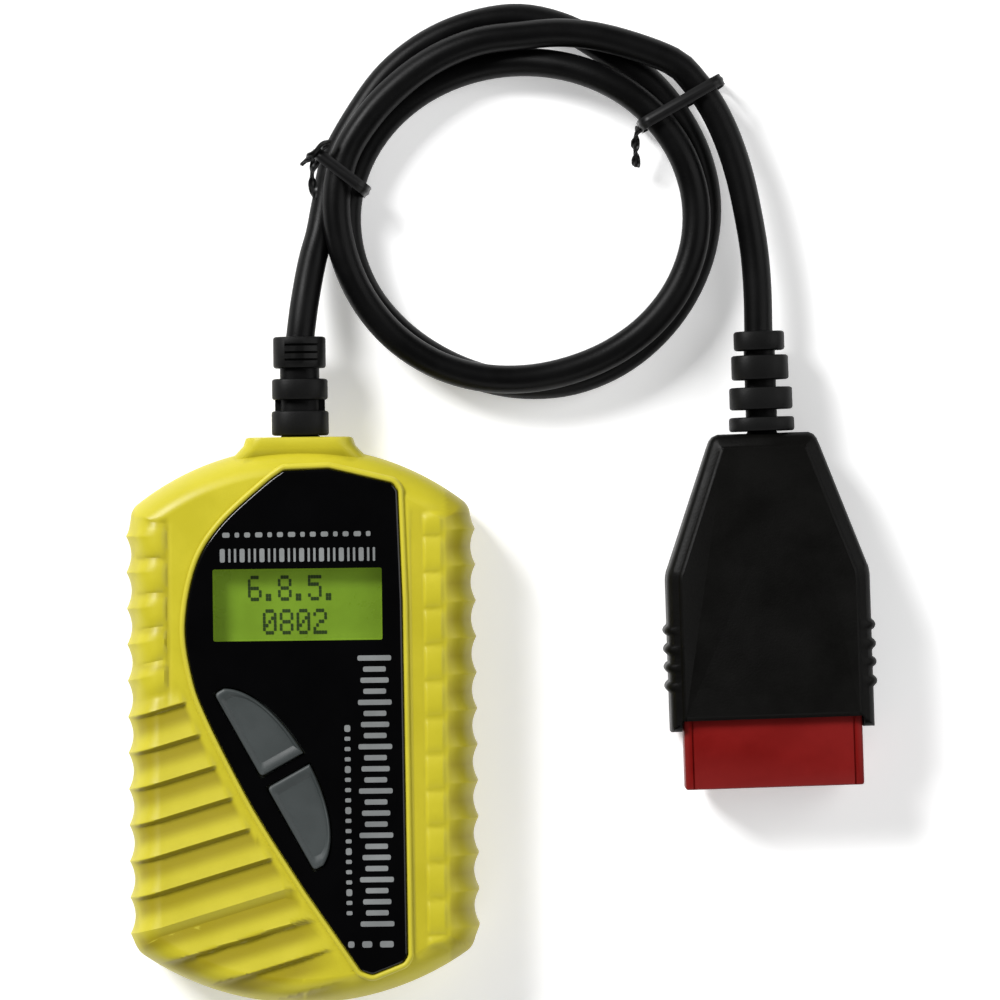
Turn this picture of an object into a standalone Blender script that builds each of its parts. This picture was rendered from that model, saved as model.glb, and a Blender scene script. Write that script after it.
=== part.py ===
"""OBD code reader: a hand-held reader in a yellow case, its coiled cable and its J1962 diagnostic plug.

Units are metres. The reader lies on its back on z = 0 with its face up. X runs across it, +Y towards the cable,
and the origin is the centre of the reader's footprint. The plug lies beside it on the same surface.
"""

import math

import bmesh
import bpy
from mathutils import Vector

# Reader case
CASE_HALF_WIDTH = 0.03745
CASE_TOP = 0.0604
CASE_BOTTOM = -0.0625
TOP_ARC_RADIUS = 0.0586
BOTTOM_ARC_RADIUS = 0.0630
CORNER_RADIUS = 0.0040
PARTING_Z = 0.01195
FIT_GAP = 0.0003
RIB_COUNT = 12
RIB_HEIGHT = 0.0011
COLLAR_HALF_WIDTH = 0.01185
COLLAR_TOP = 0.0625
COLLAR_LOW_Z = 0.0035
COLLAR_HIGH_Z = 0.0205
RELIEF_Z = 0.0120
RELIEF_BORE = 0.0047

# Face: overlay, window and keys
RECESS_Z = 0.0230
OVERLAY_TOP_Z = 0.0240
WINDOW_CENTRE = (-0.0005, 0.0257)
WINDOW_SIZE = (0.0370, 0.0157)
KEY_CHORD_START = (-0.0192, 0.0068)
KEY_CHORD_END = (0.0027, -0.0331)
KEY_BULGE = 0.0106
KEY_SPLIT = 0.0028
KEY_TRAVEL_ROOM = 0.0004

# Boards
BOARD_Z = 0.0060
BOARD_THICKNESS = 0.0016
BOARD_TOP_Z = BOARD_Z + BOARD_THICKNESS
PART_Z = BOARD_TOP_Z + FIT_GAP
LCD_BOARD_Z = 0.0130

# Screws
CASE_SCREWS = [(0.0285, 0.0460), (-0.0285, 0.0460), (-0.0285, -0.0440), (0.0285, -0.0440)]
BOARD_SCREWS = [(0.0270, 0.0330), (-0.0270, 0.0330), (-0.0270, -0.0330), (0.0270, -0.0330)]

# Cable and coil
CABLE_RADIUS = 0.00315
COIL_CENTRE = (0.0500, 0.1141)
COIL_OUTER = 0.04135
OPENING_CENTRE = (0.0497, 0.1105)
OPENING_AXES = (0.03885, 0.0349)
COIL_LOW_Z = 0.0039
COIL_HIGH_Z = 0.0095
COIL_BOTTOM_Z = 0.00075
COIL_TOP_Z = 0.01335
LEAD_START = 0.0492

# Plug, in its own frame: y runs from the mouth towards the cable, x across it
PLUG_MOUTH = (0.10405, -0.01594)
PLUG_TURN = math.radians(1.2)
PLUG_MID_Z = 0.0103
HOOD_HALF_WIDTH = 0.02245
HOOD_FRONT = 0.0128
HOOD_PLATE_FRONT = 0.0152
HOOD_SHOULDER = 0.0482
HOOD_BACK = 0.0781
HOOD_BACK_HALF_WIDTH = 0.0114
HOOD_HALF_HEIGHT = 0.0103
HOOD_WALL = 0.0020
SHROUD_HALF_WIDTH = 0.0197
SHROUD_NARROW_HALF_WIDTH = 0.0172
SHROUD_HALF_HEIGHT = 0.0079
SHROUD_WALL = 0.0012
SHROUD_DEPTH = 0.0132
BLOCK_BACK = 0.0280
PIN_PITCH = 0.0040
PIN_ROW_Z = 0.0039
PINS = [2, 4, 5, 6, 7, 10, 14, 15, 16]
HOOD_SCREWS = [(0.0135, 0.0520), (-0.0135, 0.0520)]


# ---------------------------------------------------------------- helpers


def clear_scene():
    for obj in list(bpy.data.objects):
        bpy.data.objects.remove(obj)


def material(name, colour, roughness, metallic=0.0):
    made = bpy.data.materials.new(name)
    made.use_nodes = True
    shader = made.node_tree.nodes["Principled BSDF"]
    shader.inputs["Base Color"].default_value = (*colour, 1.0)
    shader.inputs["Roughness"].default_value = roughness
    shader.inputs["Metallic"].default_value = metallic
    return made


def add(name, bm, finish=None, parent=None, smooth_angle=35.0):
    """The bmesh as a named object, in triangles, so that a Boolean meets no bent face, all turned out."""
    bmesh.ops.recalc_face_normals(bm, faces=bm.faces)
    bmesh.ops.triangulate(bm, faces=bm.faces)
    mesh = bpy.data.meshes.new(name)
    bm.to_mesh(mesh)
    bm.free()
    mesh.shade_smooth()
    mesh.set_sharp_from_angle(angle=math.radians(smooth_angle))
    obj = bpy.data.objects.new(name, mesh)
    bpy.context.scene.collection.objects.link(obj)
    obj.parent = parent
    if finish:
        mesh.materials.append(finish)
    return obj


def combine(obj, bm, operation):
    """Joins a shape to the object, or cuts it away, with a Boolean whose other half stays hidden."""
    tool = add(f"{obj.name}_{operation.lower()}_{len(obj.modifiers)}", bm, parent=obj.parent)
    tool.hide_render = True
    tool.display_type = "WIRE"
    boolean = obj.modifiers.new(operation.title(), "BOOLEAN")
    boolean.operation = operation
    boolean.object = tool


def cut(obj, bm):
    combine(obj, bm, "DIFFERENCE")


def join(obj, bm):
    combine(obj, bm, "UNION")


def loft(rings, cyclic=False, bm=None):
    """A closed body through rings of equally many points: capped at both ends, or joined end to start."""
    bm = bm or bmesh.new()
    rows = [[bm.verts.new(point) for point in ring] for ring in rings]
    pairs = list(zip(rows, rows[1:]))
    if cyclic:
        pairs.append((rows[-1], rows[0]))
    else:
        bm.faces.new(rows[0])
        bm.faces.new(rows[-1])
    for lower, upper in pairs:
        for i in range(len(lower)):
            k = (i + 1) % len(lower)
            bm.faces.new((lower[i], lower[k], upper[k], upper[i]))
    return bm


def prism(outline, low, high, bm=None):
    """An outline in x and y, raised from low to high."""
    return loft([[(x, y, z) for x, y in outline] for z in (low, high)], bm=bm)


def box(low, high, bm=None):
    outline = [(low[0], low[1]), (high[0], low[1]), (high[0], high[1]), (low[0], high[1])]
    return prism(outline, low[2], high[2], bm=bm)


def block(centre, size, low, height):
    """A box on a board: its centre and size in x and y, and its underside."""
    corner = (centre[0] - size[0] / 2, centre[1] - size[1] / 2, low)
    return box(corner, (corner[0] + size[0], corner[1] + size[1], low + height))


def arc(centre, radius, start, end, steps):
    """Points along an arc from start to end in degrees, both ends included."""
    points = []
    for i in range(steps + 1):
        angle = math.radians(start + (end - start) * i / steps)
        points.append((centre[0] + radius * math.cos(angle), centre[1] + radius * math.sin(angle)))
    return points


def round_bar(centre, profile, sides=20, bm=None):
    """A body turned about a vertical line: profile is a list of (z, radius)."""
    rings = []
    for z, radius in profile:
        ring = []
        for i in range(sides):
            angle = math.tau * i / sides
            ring.append((centre[0] + radius * math.cos(angle), centre[1] + radius * math.sin(angle), z))
        rings.append(ring)
    return loft(rings, bm=bm)


def turned_along_y(centre, profile, sides=20):
    """A body turned about a line along y: centre is (x, z), profile a list of (y, radius)."""
    rings = []
    for y, radius in profile:
        ring = []
        for i in range(sides):
            angle = math.tau * i / sides
            ring.append((centre[0] + radius * math.cos(angle), y, centre[1] + radius * math.sin(angle)))
        rings.append(ring)
    return loft(rings)


def tube(points, radius, sides=8, bm=None):
    """A round tube along the points, with flat ends."""
    points = [Vector(p) for p in points]
    rings = []
    for i, point in enumerate(points):
        before = points[max(i - 1, 0)]
        after = points[min(i + 1, len(points) - 1)]
        along = (after - before).normalized()
        side = along.cross(Vector((0, 0, 1)))
        if side.length < 0.1:
            side = along.cross(Vector((0, 1, 0)))
        side.normalize()
        up = side.cross(along)
        ring = []
        for k in range(sides):
            angle = math.tau * k / sides
            ring.append(point + radius * (math.cos(angle) * side + math.sin(angle) * up))
        rings.append(ring)
    return loft(rings, bm=bm)


def grown(outline, amount):
    """A counter-clockwise outline moved outwards by amount at each of its points."""
    moved = []
    count = len(outline)
    for i, (x, y) in enumerate(outline):
        into = Vector(outline[i]) - Vector(outline[i - 1])
        out = Vector(outline[(i + 1) % count]) - Vector(outline[i])
        first = Vector((into.y, -into.x)).normalized()
        second = Vector((out.y, -out.x)).normalized()
        corner = (first + second) / (1 + first.dot(second))
        moved.append((x + amount * corner.x, y + amount * corner.y))
    return moved


def smooth_points(route, spacing):
    """Points about spacing apart on the smooth curve through the route's points."""
    route = [Vector(p) for p in route]
    ends = [2 * route[0] - route[1]] + route + [2 * route[-1] - route[-2]]
    points = [route[0]]
    for a, b, c, d in zip(ends, ends[1:], ends[2:], ends[3:]):
        steps = max(1, round((c - b).length / spacing))
        for i in range(1, steps + 1):
            t = i / steps
            square = (2 * a - 5 * b + 4 * c - d) * t**2
            cube = (3 * b - a - 3 * c + d) * t**3
            points.append(0.5 * (2 * b + (c - a) * t + square + cube))
    return points


# ---------------------------------------------------------------- outlines


def case_corner(arc_y, arc_radius, inset, side):
    """The corner where a long arc meets the side: its centre, its radius, and where the arc reaches it."""
    radius = max(CORNER_RADIUS - inset, 0.0004)
    reach = arc_radius - inset - radius
    x = CASE_HALF_WIDTH - inset - radius
    y = arc_y + side * math.sqrt(reach**2 - x**2)
    return (x, y), radius, math.degrees(math.atan2(y - arc_y, x))


def case_ring(inset, z, rib_share):
    """The case's outline moved inwards by inset, with the grip ribs standing out by a share of their height."""
    low_arc = (0, CASE_BOTTOM + BOTTOM_ARC_RADIUS)
    high_arc = (0, CASE_TOP - TOP_ARC_RADIUS)
    low, low_radius, low_turn = case_corner(low_arc[1], BOTTOM_ARC_RADIUS, inset, -1)
    high, high_radius, high_turn = case_corner(high_arc[1], TOP_ARC_RADIUS, inset, 1)
    half = arc(low_arc, BOTTOM_ARC_RADIUS - inset, -90, low_turn, 5)[:-1]
    half += arc(low, low_radius, low_turn, 0, 3)
    for i in range(RIB_COUNT):
        for offset, out in ((-0.30, 0), (-0.16, 1), (0.16, 1), (0.30, 0)):
            share = (i + 0.5 + offset) / RIB_COUNT
            x = CASE_HALF_WIDTH - inset + out * rib_share * RIB_HEIGHT
            half.append((x, low[1] + share * (high[1] - low[1])))
    half += arc(high, high_radius, 0, high_turn, 3)
    half += arc(high_arc, TOP_ARC_RADIUS - inset, high_turn, 90, 5)[1:]
    half[0] = (0, half[0][1])
    half[-1] = (0, half[-1][1])
    outline = half + [(-x, y) for x, y in reversed(half[1:-1])]
    return [(x, y, z) for x, y in outline]


def case_rings(levels):
    """The case outline at each (inset, z, rib share) level."""
    return [case_ring(inset, z, share) for inset, z, share in levels]


def overlay_outline():
    """The dark panel: a straight right side, a curved left side that runs out into a diagonal."""
    curve = [
        (-0.0032, 0.0551, 0),
        (-0.0076, 0.0519, 0),
        (-0.0172, 0.0431, 0),
        (-0.0226, 0.0343, 0),
        (-0.0251, 0.0215, 0),
        (-0.0237, 0.0100, 0),
        (-0.0206, 0.0011, 0),
        (-0.0130, -0.0145, 0),
        (-0.0076, -0.0241, 0),
        (0.0007, -0.0374, 0),
    ]
    left = [(p.x, p.y) for p in smooth_points(curve, 0.005)]
    bottom = [(0.0125, -0.0548), (0.0150, -0.0557), (0.0218, -0.0530), (0.0227, -0.0515)]
    right = [(0.0224, 0.0262), (0.0217, 0.0505), (0.0206, 0.0520), (0.0066, 0.0554)]
    return left + bottom + right


def key_outline(start, end):
    """One half of the leaf of keys: the part of a half ellipse between two shares of its chord."""
    origin = Vector(KEY_CHORD_START)
    chord = Vector(KEY_CHORD_END) - origin
    half_length = chord.length / 2
    along = chord.normalized()
    across = Vector((-along.y, along.x))
    outline = []
    steps = 9
    edge = 0.12
    for i in range(steps + 1):
        share = start + (end - start) * (0.5 - 0.5 * math.cos(math.pi * i / steps))
        reach = 2 * share - 1
        height = KEY_BULGE * math.sqrt(max(1 - reach**2, 0))
        outline.append(origin + along * (half_length * (1 + reach)) + across * max(height, edge * KEY_BULGE))
    for share in (end, start):
        outline.append(origin + along * (2 * half_length * share))
    points = [(p.x, p.y) for p in outline]
    return list(reversed(points))


def key_outlines():
    length = (Vector(KEY_CHORD_END) - Vector(KEY_CHORD_START)).length
    gap = KEY_SPLIT / length / 2
    return key_outline(0.012, 0.5 - gap), key_outline(0.5 + gap, 0.988)


def middle_of(outline):
    return (sum(p[0] for p in outline) / len(outline), sum(p[1] for p in outline) / len(outline))


# ---------------------------------------------------------------- reader case


def collar_half(edge_z, tip_z):
    """Half of the collar round the cable's exit, from the parting line to its rounded edge."""
    turn = 1 if tip_z > edge_z else -1
    radius = 0.003
    centre_z = tip_z - turn * radius
    corners = arc((COLLAR_HALF_WIDTH - radius, centre_z), radius, 0, turn * 90, 4)
    corners += [(-x, z) for x, z in reversed(corners)]
    outline = [(COLLAR_HALF_WIDTH, edge_z)] + corners + [(-COLLAR_HALF_WIDTH, edge_z)]
    return loft([[(x, y, z) for x, z in outline] for y in (0.0590, COLLAR_TOP)])


def relief_bore():
    return turned_along_y((0, RELIEF_Z), [(0.0550, RELIEF_BORE), (0.0700, RELIEF_BORE)], 24)


def make_front_cover(finish):
    edge = PARTING_Z + FIT_GAP / 2
    levels = [(0.0090, 0.0214, 0), (0.0046, 0.0206, 0), (0.0026, 0.0174, 0), (0.0022, edge, 0)]
    levels += [(0, edge, 1), (0, 0.0165, 1), (0.0005, 0.0198, 0.8), (0.0015, 0.0219, 0.5)]
    levels += [(0.0030, 0.0232, 0.2), (0.0046, 0.0238, 0), (0.0066, 0.0239, 0)]
    cover = add("front_cover", loft(case_rings(levels)), finish)
    join(cover, collar_half(edge, COLLAR_HIGH_Z))
    for centre in CASE_SCREWS:
        join(cover, round_bar(centre, [(0.0104, 0.0032), (0.0220, 0.0032)], 16))
        cut(cover, round_bar(centre, [(0.0090, 0.0015), (0.0182, 0.0015)], 12))
    cut(cover, relief_bore())
    cut(cover, prism(grown(overlay_outline(), FIT_GAP), RECESS_Z, 0.0260))
    cut(cover, block(WINDOW_CENTRE, (WINDOW_SIZE[0] + 0.0012, WINDOW_SIZE[1] + 0.0012), 0.0190, 0.0080))
    for outline in key_outlines():
        cut(cover, prism(grown(outline, KEY_TRAVEL_ROOM), 0.0190, 0.0270))
    return cover


def make_rear_cover(finish):
    edge = PARTING_Z - FIT_GAP / 2
    levels = [(0.0090, 0.0022, 0), (0.0050, 0.0026, 0), (0.0030, 0.0042, 0), (0.0022, 0.0065, 0)]
    levels += [(0.0022, edge, 0), (0, edge, 1), (0, 0.0050, 1), (0.0005, 0.0029, 0.8)]
    levels += [(0.0016, 0.0013, 0.5), (0.0032, 0.00035, 0.2), (0.0055, 0, 0)]
    cover = add("rear_cover", loft(case_rings(levels)), finish)
    join(cover, collar_half(edge, COLLAR_LOW_Z))
    for centre in CASE_SCREWS:
        join(cover, round_bar(centre, [(0.0020, 0.0044), (0.0101, 0.0044)], 20))
        hole = [(-0.0010, 0.0031), (0.0060, 0.0031), (0.0060, 0.0017), (0.0120, 0.0017)]
        cut(cover, round_bar(centre, hole, 18))
    for centre in BOARD_SCREWS:
        join(cover, round_bar(centre, [(0.0015, 0.0026), (0.0057, 0.0026)], 12))
        cut(cover, round_bar(centre, [(0.0028, 0.0012), (0.0070, 0.0012)], 10))
    cut(cover, relief_bore())
    cut(cover, block((0, -0.0050), (0.0460, 0.0300), -0.0010, 0.0018))
    return cover


def make_screw(name, centre, finish, head, shank, parent=None):
    """A screw whose head and shank are each (radius, low z, high z)."""
    levels = []
    for radius, low, high in sorted((head, shank), key=lambda part: part[1]):
        levels += [(low, radius), (high, radius)]
    return add(name, round_bar(centre, levels, 12), finish, parent)


def make_face(finishes):
    window = (WINDOW_SIZE[0] + 0.0001, WINDOW_SIZE[1] + 0.0001)
    sheet = prism(overlay_outline(), RECESS_Z + FIT_GAP, OVERLAY_TOP_Z)
    panel = add("overlay_panel", sheet, finishes["overlay"])
    cut(panel, block(WINDOW_CENTRE, window, 0.0200, 0.0070))
    for outline in key_outlines():
        cut(panel, prism(grown(outline, KEY_TRAVEL_ROOM), 0.0200, 0.0270))
    lens_size = (WINDOW_SIZE[0] - 2 * FIT_GAP, WINDOW_SIZE[1] - 2 * FIT_GAP)
    add("display_lens", block(WINDOW_CENTRE, lens_size, 0.0215, 0.0024), finishes["clear"])
    for name, outline in zip(("upper", "lower"), key_outlines()):
        make_key(name, outline, finishes)


def make_key(name, outline, finishes):
    """A key with its flange and stem, and the switch and plunger under it."""
    middle = middle_of(outline)
    levels = [(0.0010, 0.0196), (0.0010, 0.0211), (0, 0.0211), (0, 0.0242)]
    levels += [(-0.0008, 0.0248), (-0.0022, 0.0245)]
    rings = [[(x, y, z) for x, y in grown(outline, out)] for out, z in levels]
    key = add(f"key_{name}", loft(rings), finishes["key"])
    join(key, round_bar(middle, [(0.0189, 0.0018), (0.0205, 0.0018)], 16))
    body = add(f"switch_{name}", block(middle, (0.0060, 0.0060), PART_Z, 0.0035), finishes["black_part"])
    cut(body, round_bar(middle, [(PART_Z + 0.0006, 0.0020), (0.0130, 0.0020)], 16))
    add(f"plunger_{name}", round_bar(middle, [(0.0094, 0.0017), (0.0186, 0.0017)], 16), finishes["black_part"])


# ---------------------------------------------------------------- boards


def make_display(finishes):
    x, y = WINDOW_CENTRE
    add("lcd_board", block((x, y), (0.0580, 0.0320), LCD_BOARD_Z, BOARD_THICKNESS), finishes["board"])
    bezel = add("lcd_bezel", block((x, y), (0.0520, 0.0250), 0.0149, 0.0060), finishes["steel"])
    cut(bezel, block((x, y), (0.0496, 0.0226), 0.0140, 0.0061))
    cut(bezel, block((x, y), (0.0390, 0.0175), 0.0130, 0.0100))
    add("lcd_glass", block((x, y), (0.0488, 0.0218), 0.0180, 0.0017), finishes["lcd"])
    add("lcd_backlight", block((x, y), (0.0488, 0.0218), 0.0150, 0.0026), finishes["backlight"])
    add("lcd_header", block((x, y + 0.0141), (0.0380, 0.0024), PART_Z, 0.0048), finishes["black_part"])


def make_main_board(finishes):
    wide = 0.0310
    narrow = 0.0220
    step = 0.0375
    right = [(narrow, -0.0520), (narrow, -step), (wide, -step), (wide, step), (narrow, step), (narrow, 0.0500)]
    outline = right + [(-x, y) for x, y in reversed(right)]
    board = add("main_board", prism(outline, BOARD_Z, BOARD_TOP_Z), finishes["board"])
    for centre in BOARD_SCREWS:
        cut(board, round_bar(centre, [(0.0050, 0.0012), (0.0090, 0.0012)], 10))
    chips = {
        "microcontroller": ((0.0150, -0.0080), (0.0120, 0.0120), 0.0016),
        "can_transceiver": ((-0.0160, 0.0330), (0.0050, 0.0060), 0.0016),
        "kline_driver": ((-0.0040, 0.0330), (0.0050, 0.0060), 0.0016),
        "memory_chip": ((0.0080, 0.0330), (0.0050, 0.0060), 0.0016),
        "voltage_regulator": ((0.0180, 0.0240), (0.0100, 0.0090), 0.0044),
        "input_diode": ((0.0220, 0.0120), (0.0045, 0.0026), 0.0023),
    }
    for name, (centre, size, height) in chips.items():
        add(name, block(centre, size, PART_Z, height), finishes["black_part"])
    add("crystal", block((0.0150, -0.0210), (0.0110, 0.0046), PART_Z, 0.0035), finishes["steel"])
    can = [(PART_Z, 0.0040), (PART_Z + 0.0105, 0.0040), (PART_Z + 0.0110, 0.0036)]
    add("filter_capacitor", round_bar((0.0160, -0.0400), can, 20), finishes["steel"])
    add("cable_socket", block((0, 0.0437), (0.0200, 0.0030), PART_Z, 0.0044), finishes["ivory"])
    add("cable_plug", block((0, 0.0475), (0.0190, 0.0040), PART_Z + 0.0003, 0.0040), finishes["ivory"])
    stub = [(0, 0.0541, RELIEF_Z), (0, 0.0525, RELIEF_Z), (0, 0.0503, RELIEF_Z - 0.0003)]
    add("inner_cable", tube(stub, 0.0025, 10), finishes["cable"])


# ---------------------------------------------------------------- cable


def slot_radius(angle, inward):
    """Distance from the coil's centre to a strand: 0 inward is the outermost strand, 1 the innermost."""
    direction = Vector((math.cos(angle), math.sin(angle)))
    offset = Vector(COIL_CENTRE) - Vector(OPENING_CENTRE)
    wide, high = OPENING_AXES
    a = (direction.x / wide) ** 2 + (direction.y / high) ** 2
    b = offset.x * direction.x / wide**2 + offset.y * direction.y / high**2
    c = (offset.x / wide) ** 2 + (offset.y / high) ** 2 - 1
    inner = (-b + math.sqrt(b * b - a * c)) / a
    return COIL_OUTER + inward * (inner - COIL_OUTER)


def between(stops, turned):
    """The value at this angle of a smooth run through (degrees, value) stops."""
    for (start, low), (end, high) in zip(stops, stops[1:]):
        if turned <= end:
            t = (turned - start) / (end - start)
            return low + (high - low) * t * t * (3 - 2 * t)
    return stops[-1][1]


# How far inward and how high the cable lies, by degrees turned clockwise since the coil's left side
COIL_INWARD = [(30, 0), (95, 0), (118, 0.3), (150, 0.3), (195, 0), (240, 0), (320, 1), (600, 1)]
COIL_INWARD += [(690, 0), (720, 0), (760, 0.5), (810, 0.45), (845, 0)]
COIL_HEIGHT = [(30, 0.0042), (60, COIL_LOW_Z), (420, COIL_LOW_Z), (500, COIL_HIGH_Z)]
COIL_HEIGHT += [(745, COIL_HIGH_Z), (810, 0.0102), (845, 0.0100)]
READER_LEAD = [
    (0.0005, 0.0853, 0.0120),
    (0.0012, 0.0907, 0.0114),
    (0.0023, 0.0973, 0.0096),
    (0.0034, 0.1026, 0.0079),
    (0.0049, 0.1079, 0.0065),
    (0.0063, 0.1150, 0.0054),
    (0.0084, 0.1245, 0.0047),
]
PLUG_LEAD = [
    (0.0834, 0.1450, 0.0100),
    (0.0886, 0.1400, 0.0099),
    (0.0925, 0.1343, 0.0099),
    (0.0958, 0.1270, 0.0099),
    (0.0982, 0.1192, 0.0100),
    (0.0999, 0.1110, 0.0101),
    (0.1012, 0.1025, 0.0102),
    (0.1018, 0.0940, 0.0103),
    (0.1019, 0.0852, 0.0103),
]


def coil_route():
    """The coil's turns, clockwise from its upper left to its upper right, two full turns later."""
    points = []
    for turned in range(int(COIL_INWARD[0][0]), int(COIL_INWARD[-1][0]) + 1, 15):
        angle = math.radians(180 - turned)
        reach = slot_radius(angle, between(COIL_INWARD, turned))
        x = COIL_CENTRE[0] + reach * math.cos(angle)
        y = COIL_CENTRE[1] + reach * math.sin(angle)
        points.append((x, y, between(COIL_HEIGHT, turned)))
    return points


def shortened(points, gap):
    """The same line, starting gap further along."""
    step = (points[1] - points[0]).normalized()
    return [points[0] + step * gap] + points[1:]


def coil_section(angle):
    """Inner and outer reach of the coil's solid at this angle."""
    return slot_radius(angle, 1) - CABLE_RADIUS, COIL_OUTER + CABLE_RADIUS + 0.0002


def make_coil(finish):
    """The coil as one ring, with a stub at each end where a lead joins it."""
    segments = 60
    chamfer = 0.0028
    rings = []
    for i in range(segments):
        angle = math.tau * i / segments
        inner, outer = coil_section(angle)
        profile = [(inner + chamfer, COIL_BOTTOM_Z), (outer - chamfer, COIL_BOTTOM_Z)]
        profile += [(outer, COIL_BOTTOM_Z + chamfer), (outer, COIL_TOP_Z - chamfer)]
        profile += [(outer - chamfer, COIL_TOP_Z), (inner + chamfer, COIL_TOP_Z)]
        profile += [(inner, COIL_TOP_Z - chamfer), (inner, COIL_BOTTOM_Z + chamfer)]
        centre = Vector(COIL_CENTRE)
        ring = [(centre.x + r * math.cos(angle), centre.y + r * math.sin(angle), z) for r, z in profile]
        rings.append(ring)
    coil = add("cable_coil", loft(rings, cyclic=True), finish)
    for _name, route in coil_leads():
        near = [p for p in route if (Vector((p.x, p.y)) - Vector(COIL_CENTRE)).length <= LEAD_START]
        join(coil, tube([route[0]] + near[1:], CABLE_RADIUS, 12))


def coil_leads():
    """Each lead's smooth line, from inside the coil outwards."""
    coil = coil_route()
    reader = smooth_points(READER_LEAD + coil[:2], 0.0035)
    plug = smooth_points(coil[-2:] + PLUG_LEAD, 0.0035)
    reader_out = list(reversed(reader))
    return [("cable_lead_reader", reader_out), ("cable_lead_plug", plug)]


def make_lead(name, route, finish):
    """A plain tube from the coil's stub to the strain relief."""
    inside = [i for i, p in enumerate(route) if (Vector((p.x, p.y)) - Vector(COIL_CENTRE)).length <= LEAD_START]
    points = shortened(route[max(inside) :], FIT_GAP)
    curve = bpy.data.curves.new(name, "CURVE")
    curve.dimensions = "3D"
    curve.bevel_depth = CABLE_RADIUS
    curve.bevel_resolution = 3
    curve.use_fill_caps = True
    spline = curve.splines.new("POLY")
    spline.points.add(len(points) - 1)
    for slot, point in zip(spline.points, points):
        slot.co = (*point, 1)
    curve.materials.append(finish)
    obj = bpy.data.objects.new(name, curve)
    bpy.context.scene.collection.objects.link(obj)


def make_tie(name, inner_angle, outer_angle, outer_reach, tail, finish):
    """A flat twist tie: a band round the coil's section, and its twisted tail."""
    gap = 0.0003
    thickness = 0.0005
    half_width = 0.0012
    inner = coil_section(inner_angle)[0] - 0.0003
    centre = Vector(COIL_CENTRE)
    near = centre + inner * Vector((math.cos(inner_angle), math.sin(inner_angle)))
    far = centre + outer_reach * Vector((math.cos(outer_angle), math.sin(outer_angle)))
    across = (far - near).normalized()
    along = Vector((-across.y, across.x))
    length = (far - near).length

    def loop(out, side):
        corner = 0.0010 + out
        low = COIL_BOTTOM_Z - out
        high = COIL_TOP_Z + out
        points = arc((length + out - corner, high - corner), corner, 0, 90, 3)
        points += arc((-out + corner, high - corner), corner, 90, 180, 3)
        points += arc((-out + corner, low + corner), corner, 180, 270, 3)
        points += arc((length + out - corner, low + corner), corner, 270, 360, 3)
        return [(*(near + across * reach + along * side), z) for reach, z in points]

    rings = [loop(gap, half_width), loop(gap, -half_width)]
    rings += [loop(gap + thickness, -half_width), loop(gap + thickness, half_width)]
    tie = add(name, loft(rings, cyclic=True), finish)
    join(tie, tube(smooth_points(tail, 0.003), 0.0009, 8))


def make_relief(name, axis, profile, finish, parent=None):
    add(name, turned_along_y(axis, profile, 24), finish, parent)


def steps(bands, root_radius):
    """A turned profile of raised bands, each (start, end, radius), with grooves of the root radius between."""
    profile = []
    for start, end, radius in bands:
        if profile and start > profile[-1][0]:
            profile += [(profile[-1][0], root_radius), (start, root_radius)]
        profile += [(start, radius), (end, radius)]
    return profile


def make_cable(finishes):
    make_coil(finishes["cable"])
    for name, route in coil_leads():
        make_lead(name, route, finishes["cable"])
    left_tail = [(0.0068, 0.1275, 0.0125), (0.0048, 0.1245, 0.0128), (0.0035, 0.1205, 0.0130)]
    left_tail += [(0.0041, 0.1149, 0.0128)]
    make_tie("twist_tie_left", math.radians(175), math.radians(166), 0.0470, left_tail, finishes["tie"])
    right_tail = [(0.0762, 0.1304, 0.0085), (0.0754, 0.1288, 0.0080), (0.0752, 0.1260, 0.0068)]
    right_tail += [(0.0754, 0.1219, 0.0050)]
    make_tie("twist_tie_right", math.radians(32), math.radians(31), 0.0512, right_tail, finishes["tie"])
    bands = [(0.0545, 0.0565, 0.0057), (0.0565, 0.0629, 0.0044), (0.0629, 0.0683, 0.0063)]
    bands += [(0.0708, 0.0754, 0.00615), (0.0778, 0.0847, 0.0053)]
    make_relief("reader_relief", (0.0002, RELIEF_Z), steps(bands, 0.00435), finishes["relief"])


# ---------------------------------------------------------------- plug


def hood_outline(inset):
    """The hood seen from above, counter-clockwise, moved inwards by inset."""
    shoulder = 0.0029
    right = [(HOOD_HALF_WIDTH, HOOD_FRONT), (HOOD_HALF_WIDTH, HOOD_SHOULDER - 0.002)]
    right += [(HOOD_HALF_WIDTH - 0.0006, HOOD_SHOULDER + 0.001)]
    right += [(HOOD_BACK_HALF_WIDTH + 0.0010, HOOD_BACK - shoulder), (HOOD_BACK_HALF_WIDTH, HOOD_BACK - 0.0008)]
    right += [(HOOD_BACK_HALF_WIDTH - 0.0010, HOOD_BACK)]
    outline = right + [(-x, y) for x, y in reversed(right)]
    return grown(outline, -inset)


def hood_height(y):
    """The hood's height at this place, as a share of its full height."""
    slope = (y - HOOD_SHOULDER) / (HOOD_BACK - HOOD_SHOULDER)
    return 1 - 0.27 * min(max(slope, 0), 1)


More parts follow.
